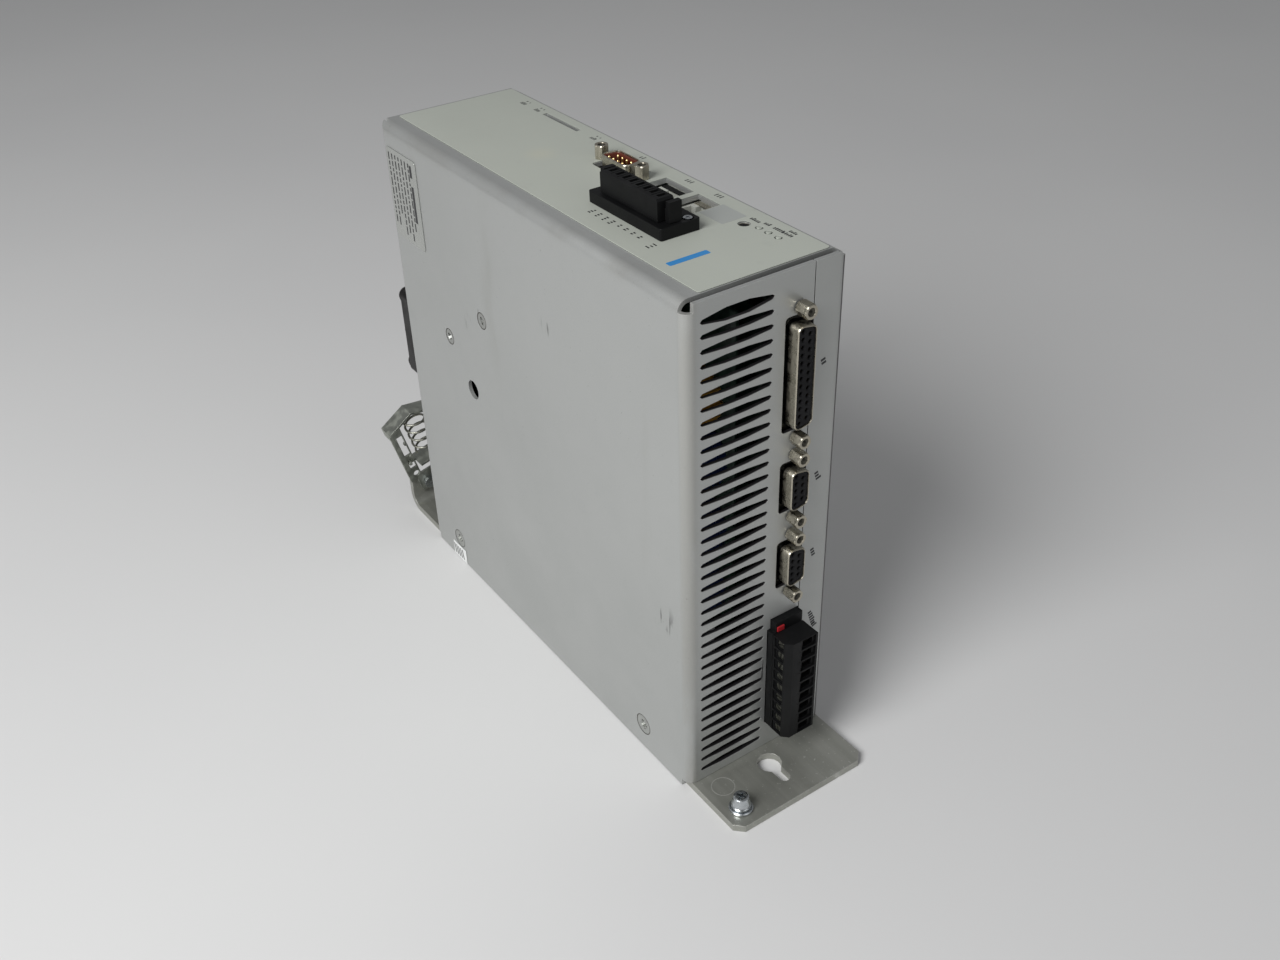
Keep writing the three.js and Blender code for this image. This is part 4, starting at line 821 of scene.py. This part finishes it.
def d_layer(long, grow, height):
    """The connector's D outline with round corners, moved outward by grow, at a height."""
    u, v = D_HIGH / 2, long / 2
    d = [(-u, -v), (u, D_SLANT - v), (u, v - D_SLANT), (-u, v)]
    return layer(outline(d, D_CORNER_R, grow), height)


def contacts(ways):
    """Contact places about the connector's centre: the longer row lies on the wide side."""
    wide = (ways + 1) // 2
    rows = ((-ROW_APART / 2, wide), (ROW_APART / 2, ways - wide))
    return [(u, (i - (count - 1) / 2) * CONTACT_PITCH) for u, count in rows for i in range(count)]


def drawn_shell(name, long, flange, matrix, material):
    """Drawn steel shell: flange, round foot, straight wall and rolled lip."""
    face = FLANGE_FACE
    lip = face + SHELL_OUT
    plate = outline(rectangle(-6.25, -flange / 2, 6.25, flange / 2), 2.0)
    wall = [(1.0, face + 0.02), (0.42, face + 0.18), (0.12, face + 0.6), (0.0, face + 1.2), (0.0, lip - 0.9),
            (-0.06, lip - 0.4), (-0.2, lip - 0.12), (-0.34, lip), (-0.5, lip - 0.08), (-0.58, lip - 0.35),
            (-0.6, lip - 1.6), (-0.6, face - 0.98)]
    rings = [layer(plate, face - 1), layer(plate, face)]
    rings += [d_layer(long, grow, height) for grow, height in wall]
    bm = loft(bmesh.new(), rings, matrix, cyclic=True)
    piece(name + "_drawn_shell", bm, material, replaces=[name + "_shell"])


def jack_post(node, matrix, threads):
    """Hexagonal jack post with chamfered ends; its threaded bore is drawn into a mesh of its own."""
    across, stud, end, bore = 4.75, 1.4, 5.4, 1.45
    rings = [ring(stud, -3.2, 48), ring(stud, 0.4, 48)]
    for trim, height in ((2.42, 0.4), (3, 0.56), (3, end - 0.3), (2.38, end)):
        rings.append(ring(hexagon(across, trim), height, 48))
    rings += [ring(bore + 0.12, end, 48), ring(bore, end - 0.15, 48), ring(bore, end - 3, 48)]
    body = loft(bmesh.new(), rings, matrix)
    piece(node + "_turned", body, NICKEL, replaces=[node], angle=24)
    turns = [(bore + 0.05, end - 3.1), (bore + 0.05, end - 0.35), (1.3, end - 0.35)]
    for i in range(6):
        turns += [(1.36, end - 0.45 - i * 0.4), (1.12, end - 0.65 - i * 0.4)]
    # The bore's threads are near-black steel as painted shade.
    loft(threads, [ring(r, h, 32) for r, h in turns + [(0.05, end - 3.0)]], matrix)


def female_insert(name, long, ways, matrix):
    """Black insert with a countersunk hole for each contact."""
    top = FLANGE_FACE + SHELL_OUT - 0.42
    shape = ((-0.66, -2.9), (-0.66, top - 0.12), (-0.8, top))
    body = loft(bmesh.new(), [d_layer(long, grow, height) for grow, height in shape], matrix)
    box(body, (BLOCK_LEFT, -long / 2, BLOCK_BACK), (11.0, long / 2, BLOCK_FRONT), matrix)
    tool = bmesh.new()
    for u, v in contacts(ways):
        turn(tool, [(0.62, top - 4.0), (0.62, top - 0.42), (1.02, top + 0.02), (1.02, top + 0.5)],
             matrix @ move((u, v, 0)), 16)
    block = cut(body, tool)
    piece(name + "_contact_block", block, SOCKET_BLACK, replaces=[name + "_insert"])
    gold = bmesh.new()
    for u, v in contacts(ways):
        profile = rectangle(0.36, top - 3.9, 0.6, top - 1.3)
        loft(gold, [ring(r, h, 12) for r, h in profile], matrix @ move((u, v, 0)), cyclic=True)
    piece(name + "_contacts", gold, GOLD)


def posts(name, apart, matrix):
    """A connector's two jack posts, and the threads in both as one piece of near-black steel, painted shade
    for the bores.
    """
    threads = bmesh.new()
    for side, place in ((-1, "lower"), (1, "upper")):
        jack_post(f"{name}_post_{place}", matrix @ move((0, side * apart / 2, 0)), threads)
    piece(name + "_post_threads", threads, SHADED_STEEL)


def front_connector(name, long, flange, apart, ways):
    """A socket connector on the front: shell, contact block and jack posts."""
    middle = centre(name + "_shell")
    matrix = move((middle.x, 0, middle.z)) @ FRONT
    drawn_shell(name, long, flange, matrix, FRONT_NICKEL)
    female_insert(name, long, ways, matrix)
    posts(name, apart, matrix)


def top_connector(long, flange, apart, ways):
    """The nine-way connector on top: open shell, brown lining and nine round-nosed pins."""
    middle = centre("x5_shell")
    matrix = move((middle.x, middle.y, BOX_H))
    drawn_shell("x5", long, flange, matrix, TOP_NICKEL)
    posts("x5", apart, matrix)
    lip, floor = 3.6, -1.4
    shape = [(-0.66, -2.9), (-0.66, lip), (-0.78, lip + 0.12), (-1.35, lip + 0.12), (-1.45, lip),
             (-1.5, floor)]
    body = loft(bmesh.new(), [d_layer(long, grow, height) for grow, height in shape], matrix)
    box(body, (BLOCK_LEFT, -long / 2, BLOCK_BACK), (9.8, long / 2, BLOCK_FRONT), matrix)
    piece("x5_lining", body, BROWN, replaces=["x5_insert"])
    pins = bmesh.new()
    for u, v in contacts(ways):
        turn(pins, [(0.5, floor), (0.5, 2.9), (0.44, 3.2), (0.28, 3.42), (0.08, 3.5)],
             matrix @ move((u, v, 0)), 16)
    piece("x5_pins", pins, GOLD)


front_connector("x1", *TWENTY_FIVE_WAY)
front_connector("x10", *NINE_WAY)
front_connector("x11", *NINE_WAY)
top_connector(*NINE_WAY)


# ---- Power plug on the front ----
def x9_plug():
    """Nine poles: a wire entry in front and a clamping screw at the left, with grooves between them."""
    low, high = corners("x9_plug")
    face = low.y
    places = pole_places("x9_plug", "z", X9_POLES, X9_PITCH)
    half, back = 2.2, face + 8.5
    tool = bmesh.new()
    for z in places:
        box(tool, (high.x - 7.6, face - 1, z - half), (high.x - 0.9, face + 0.9, z + half))
        box(tool, (low.x - 1, face + 2.7, z - half + 0.05), (low.x + 0.7, back - 0.9, z + half - 0.05))
    for z in places[:-1]:
        groove = z + X9_PITCH / 2
        box(tool, (low.x + 3.0, face - 1, groove - 0.12), (high.x - 7.9, face + 0.18, groove + 0.12))
    body = cut(copy_of("x9_plug"), tool)
    piece("x9_plug_body", body, BLACK, "x9_plug", ["x9_plug"], 0.14)
    x9_terminals(low, high, places)
    front = bmesh.new()
    box(front, (low.x + 2.6, face - 0.02, low.z + 0.4), (high.x - 8.4, face + 0.4, high.z - 0.4))
    piece("x9_front_strip", front, BLACK, "x9_plug", bevel_mm=0.18)


def x9_terminals(low, high, places):
    """The plug's steel: a wire cage in each entry and a slotted screw in each window, both darkened as
    painted shade.
    """
    face = low.y
    near, far, wall = face + 2.6, face + 5.8, 0.35
    screw_y = (face + corners("x9_header")[0].y - 0.3) / 2 + 0.6
    cages, heads, slots = bmesh.new(), bmesh.new(), bmesh.new()
    for z in places:
        window = rectangle(high.x - 6.3, z - 1.65, high.x - 2.1, z + 1.65)
        outer, inner = outline(window, 0.4, 0, 3), outline(window, 0.4, -wall, 3)
        rings = [[(p[0], y, p[1]) for p in shape]
                 for shape, y in ((outer, far), (outer, near), (inner, near), (inner, far))]
        loft(cages, rings, cyclic=True)
        matrix = move((low.x, screw_y, z)) @ LEFT @ Matrix.Rotation(rng.uniform(0, 3.1), 4, "Z")
        turn(heads, [(1.5, -2.4), (1.7, -1.6), (1.7, -1.0), (1.5, -0.75)], matrix, 28)
        box(slots, (-2, -0.28, -1.45), (2, 0.28, 0), matrix)
    # The wire cages are near-black steel as painted shade in the entries.
    piece("x9_wire_cages", cages, SHADED_STEEL, "x9_plug")
    # The clamp screws are darkened zinc as painted shade in their pits.
    piece("x9_clamp_screws", cut(heads, slots), SHADED_ZINC, "x9_plug")


def red_key():
    """Coding key on the front of the header's ledge, just above the plug."""
    low = corners("x9_header")[0]
    bottom = corners("x9_plug")[1].z + 0.3
    key = bmesh.new()
    box(key, (low.x + 1.9, low.y - 0.5, bottom), (low.x + 5.0, low.y + 0.5, bottom + 2.1))
    piece("red_key", key, RED, bevel_mm=0.15)


x9_plug()
dress("x9_header", BLACK, 0.2)
red_key()


# ---- Control terminal on the top ----
def x40_plug():
    """Eight poles: grooves between them on top, a contact in each slot and a parting line at the left."""
    low, high = corners("x40_plug")
    base_top = corners("x40_base")[1].z
    places = pole_places("x40_base", "y", X40_POLES, X40_PITCH)
    tool = bmesh.new()
    for y in places[:-1]:
        groove = y + X40_PITCH / 2
        box(tool, (low.x + 1.2, groove - 0.16, high.z - 0.35), (low.x + 5.9, groove + 0.16, high.z + 1))
    box(tool, (low.x - 1, places[0] - 3, base_top + 0.9), (low.x + 0.15, places[-1] + 3, base_top + 1.15))
    body = cut(copy_of("x40_plug"), tool)
    piece("x40_plug_body", body, BLACK, "x40_plug", ["x40_plug"], 0.3)
    springs = bmesh.new()
    for y in places:
        box(springs, (low.x + 2.6, y - 0.5, high.z - 2.0), (low.x + 5.0, y + 0.5, high.z - 1.7))
    # The contacts are near-black steel as painted shade in the slots.
    piece("x40_contacts", springs, SHADED_STEEL, "x40_plug", bevel_mm=0.1)


x40_plug()
dress("x40_base", BLACK, 0.4)


# ---- Jacks, card socket, button, lights ----
JACK_PITCH = 1.02


def jack(node, ways, shield_material):
    """Gold spring wires slanting across the port, and a shield strip at its right."""
    dress(node, JACK, 0.15)
    low, high = corners(node)
    route = [(1.9, 11.0), (1.9, 4.6), (2.1, 3.2), (2.9, 2.9), (5.4, 7.5), (5.6, 9.5)]   # right, down
    wires = bmesh.new()
    for y in pole_places(node, "y", ways, JACK_PITCH):
        tube(wires, [(low.x + right, y, high.z - down) for right, down in route], 0.2)
    piece(node + "_wires", wires, GOLD)
    shield = bmesh.new()
    box(shield, (high.x - 5.6, low.y + 0.6, high.z + 0.02), (high.x - 3.2, high.y - 0.6, high.z + 0.4))
    piece(node + "_shield", shield, shield_material, bevel_mm=0.1)


jack("x18_jack", 8, BLACK)
jack("x19_jack", 6, NICKEL)
dress("card_socket", SOCKET_BLACK, 0.15)
dress("reset_button", SOCKET_BLACK, 0.25)
dress("reset_switch", BLACK, 0.2)


def reset_guide():
    """Bright edge of the button's guide just under the film."""
    middle = centre("reset_button")
    profile = [(1.62, BOX_H - 0.9), (1.86, BOX_H - 0.9), (1.86, BOX_H - 0.35), (1.62, BOX_H - 0.25)]
    bm = loft(bmesh.new(), [ring(r, h) for r, h in profile], move((middle.x, middle.y, 0)), cyclic=True)
    piece("reset_guide", bm, NICKEL)


reset_guide()


def light_pipe():
    """Three round lenses on the moulded bar."""
    dress("status_light_pipe", LENS, 0.15)
    low, high = corners("status_light_pipe")
    dome = [(0.95, FILM_TOP - 0.02), (0.9, FILM_TOP + 0.1), (0.6, FILM_TOP + 0.24), (0.1, FILM_TOP + 0.28)]
    bm = bmesh.new()
    for y in (low.y + 2, low.y + 6.9, high.y - 2):
        turn(bm, dome, move((low.x + 1.5, y, 0)), 24)
    piece("status_lenses", bm, LENS)


light_pipe()


# ---- Inside ----
dress("control_board", BOARD, 0.0)
dress("power_board", BOARD, 0.0)
dress("heat_sink", SINK, 0.2)
dress("power_module", BLACK, 0.4)


def capacitor(node):
    """Sleeved can with a crimp groove, and a scored metal top."""
    low, high = corners(node)
    middle = centre(node)
    radius = (high.z - low.z) / 2
    length = high.x - low.x
    matrix = move((high.x, middle.y, middle.z)) @ LEFT
    sleeve = [(radius * 0.86, 0.0), (radius - 0.15, 0.1), (radius, 0.5), (radius, 2.4), (radius - 0.7, 3.0),
              (radius - 0.7, 3.6), (radius, 4.2), (radius, length - 0.6), (radius - 0.5, length - 0.1),
              (radius - 1.5, length)]
    body = turn(bmesh.new(), sleeve, matrix, 48)
    piece(node + "_sleeve", body, SLEEVE, replaces=[node])
    top = turn(bmesh.new(), [(radius - 1.6, length - 0.4), (radius - 1.7, length + 0.02)], matrix, 48)
    score = [cross(radius - 4, 0.25, height) for height in (length - 0.25, length + 0.4)]
    tool = loft(bmesh.new(), score, matrix)
    piece(node + "_top", cut(top, tool), SINK)


for i in (1, 2, 3):
    capacitor(f"bus_capacitor_{i}")


def choke():
    """Toroid wound with thick enamelled wire."""
    low, high = corners("line_choke")
    middle = centre("line_choke")
    cover = 1.1                     # room for the wire round the core
    outer, inner = (high.z - low.z) / 2 - cover, 6.1
    matrix = move((high.x, middle.y, middle.z)) @ LEFT
    height = high.x - low.x - 2 * cover
    core = bmesh.new()
    profile = rectangle(inner, cover, outer, cover + height)
    loft(core, [ring(r, h, 48) for r, h in profile], matrix, cyclic=True)
    piece("choke_core", core, WINDING, replaces=["line_choke"], bevel_mm=0.5)
    wire = bmesh.new()
    turns, wire_r = 24, 0.5
    loop = rectangle(inner - wire_r, cover - wire_r, outer + wire_r, cover + height + wire_r)
    plan = outline(loop, 1.0, 0, 3)
    for k in range(turns):
        spin = matrix @ Matrix.Rotation(2 * math.pi * k / turns, 4, "Z")
        tube(wire, [spin @ Vector((p[0], 0, p[1])) for p in plan], wire_r, 8, cyclic=True)
    piece("choke_winding", wire, WINDING)


choke()


def blocks(face, height, places):
    """Blocks of one height on a board's left face, each with its corner, its depth and its length up it."""
    bm = bmesh.new()
    for y, z, deep, tall in places:
        box(bm, (face - height, y, z), (face, y + deep, z + tall))
    return bm


def scatter(bm, face, count, y_range, z_range, heights, sizes):
    """Small parts of random place and size on a board's left face."""
    for _ in range(count):
        y, z = rng.uniform(*y_range), rng.uniform(*z_range)
        low = (face - rng.uniform(*heights), y, z)
        box(bm, low, (face, y + rng.uniform(*sizes), z + rng.uniform(*sizes)))


def board_parts():
    """Film capacitors, relays and small parts on both boards."""
    power, control = corners("power_board")[0].x, corners("control_board")[0].x
    yellow = blocks(power, 9, ((60, 118, 13, 18), (60, 96, 13, 15), (77, 118, 10, 14)))
    dark = blocks(power, 14, ((92, 140, 20, 28), (118, 140, 20, 28), (60, 80, 16, 14), (84, 76, 30, 22)))
    small = bmesh.new()
    scatter(small, power, 60, (58, 172), (66, 172), (0.8, 2.4), (1.5, 5))
    scatter(small, control, 80, (20, 180), (60, 172), (0.6, 1.8), (1.2, 9))
    piece("film_capacitors", yellow, WINDING, bevel_mm=0.5)
    piece("relays", dark, BLACK, bevel_mm=0.4)
    piece("small_parts", small, BLACK, bevel_mm=0.1)


board_parts()


# ---- Fan ----
BLADES = 7
BLADE_ROOT = 9.8
BLADE_CHORD = 8.2


def blade_section(t, r, start, height, count=16):
    """A blade's cambered section at radius r, for t from 0 at the root to 1 at the tip."""
    pitch = math.radians(52 - 16 * t)
    half = BLADE_CHORD / 2
    section = []
    for j in range(count):
        a = 2 * math.pi * j / count
        along = math.cos(a) * half
        thick = math.sin(a) * 0.42 + 0.9 * (1 - (along / half) ** 2)
        sweep = along * math.cos(pitch) - thick * math.sin(pitch)
        rise = along * math.sin(pitch) + thick * math.cos(pitch)
        angle = start + 0.25 * t + sweep / r
        section.append((r * math.cos(angle), r * math.sin(angle), height + rise))
    return section


def fan_rotor():
    """Moulded hub and twisted blades, with a plain label on the hub."""
    low, high = corners("fan_rotor")
    middle = centre("fan_rotor")
    matrix = move((middle.x, 0, middle.z)) @ BACK
    front, back = high.y, low.y + 1.8
    hub = [(1.25, low.y), (1.25, back - 0.1), (9.6, back), (10.3, back + 0.3), (10.4, back + 0.8),
           (10.4, front - 0.9), (10.1, front - 0.3), (9.4, front), (6.4, front), (6.1, front - 0.25)]
    bm = turn(bmesh.new(), hub, matrix, 64)
    tip = (high.x - low.x) / 2 - 0.15
    stations = [(step / 6, BLADE_ROOT + (tip - BLADE_ROOT) * step / 6) for step in range(7)]
    for k in range(BLADES):
        start = 2 * math.pi * k / BLADES
        loft(bm, [blade_section(t, r, start, (front + back) / 2) for t, r in stations], matrix)
    piece("fan_rotor_moulding", bm, FAN_BLACK, "fan_rotor", ["fan_rotor"], angle=40)
    disc = turn(bmesh.new(), [(6.0, front - 0.25), (6.0, front - 0.05), (5.9, front - 0.02)], matrix, 48)
    piece("fan_hub_label", disc, GREY_INK, "fan_rotor")


def fan_screw(node):
    """Domed head on a plain shank."""
    low, high = corners(node)
    middle = centre(node)
    flat = high.y - 2.4
    profile = [(1.45, low.y), (1.45, flat - 0.02), (3.4, flat), (3.6, flat + 0.2), (3.45, flat + 0.9),
               (2.9, flat + 1.6), (2.0, flat + 2.12), (1.0, flat + 2.36), (0.2, flat + 2.4)]
    bm = turn(bmesh.new(), profile, move((middle.x, 0, middle.z)) @ BACK, 40)
    piece(node + "_dome", bm, FAN_BLACK, replaces=[node])


dress("fan_frame", FAN_BLACK, 0.35)
dress("fan_guard", FAN_BLACK, 0.35)
fan_rotor()
for i in (1, 2, 3, 4):
    fan_screw(f"fan_screw_{i}")


# ---- Shield clamp ----
COIL_R = 5.2 * MM
COIL_WIRE_R = 0.55 * MM
COIL_TURNS = 4


def clamp_coil():
    """The clamp's spring: a helix along the saddle's lift axis, filling the spring's box."""
    lift = next(j for j in frame["joints"] if j["name"] == "saddle_lift")
    axis = Vector(lift["axis"]).normalized()
    rearward = Vector((0, 1, 0))
    side = axis.cross(rearward).normalized()
    low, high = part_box("clamp_spring")
    middle = (low + high) / 2
    half = (high.z - low.z) / 2 / axis.z - COIL_R * abs(side.z) / axis.z - COIL_WIRE_R
    count = COIL_TURNS * 24
    path = []
    for i in range(count + 1):
        t = i / count
        angle = t * COIL_TURNS * 2 * math.pi
        point = middle + axis * half * (2 * t - 1)
        path.append(point + side * COIL_R * math.cos(angle) + rearward * COIL_R * math.sin(angle))
    bm = tube(bmesh.new(), path, COIL_WIRE_R, 10)
    bm.transform(PLACE.inverted())
    spring = piece("clamp_coil", bm, WIRE, replaces=["clamp_spring"], angle=60)
    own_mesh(spring)


dress("clamp_frame", CLAMP, 0.18)
dress("clamp_saddle", CLAMP, 0.18)
dress("clamp_screw", ZINC, 0.3)
clamp_coil()
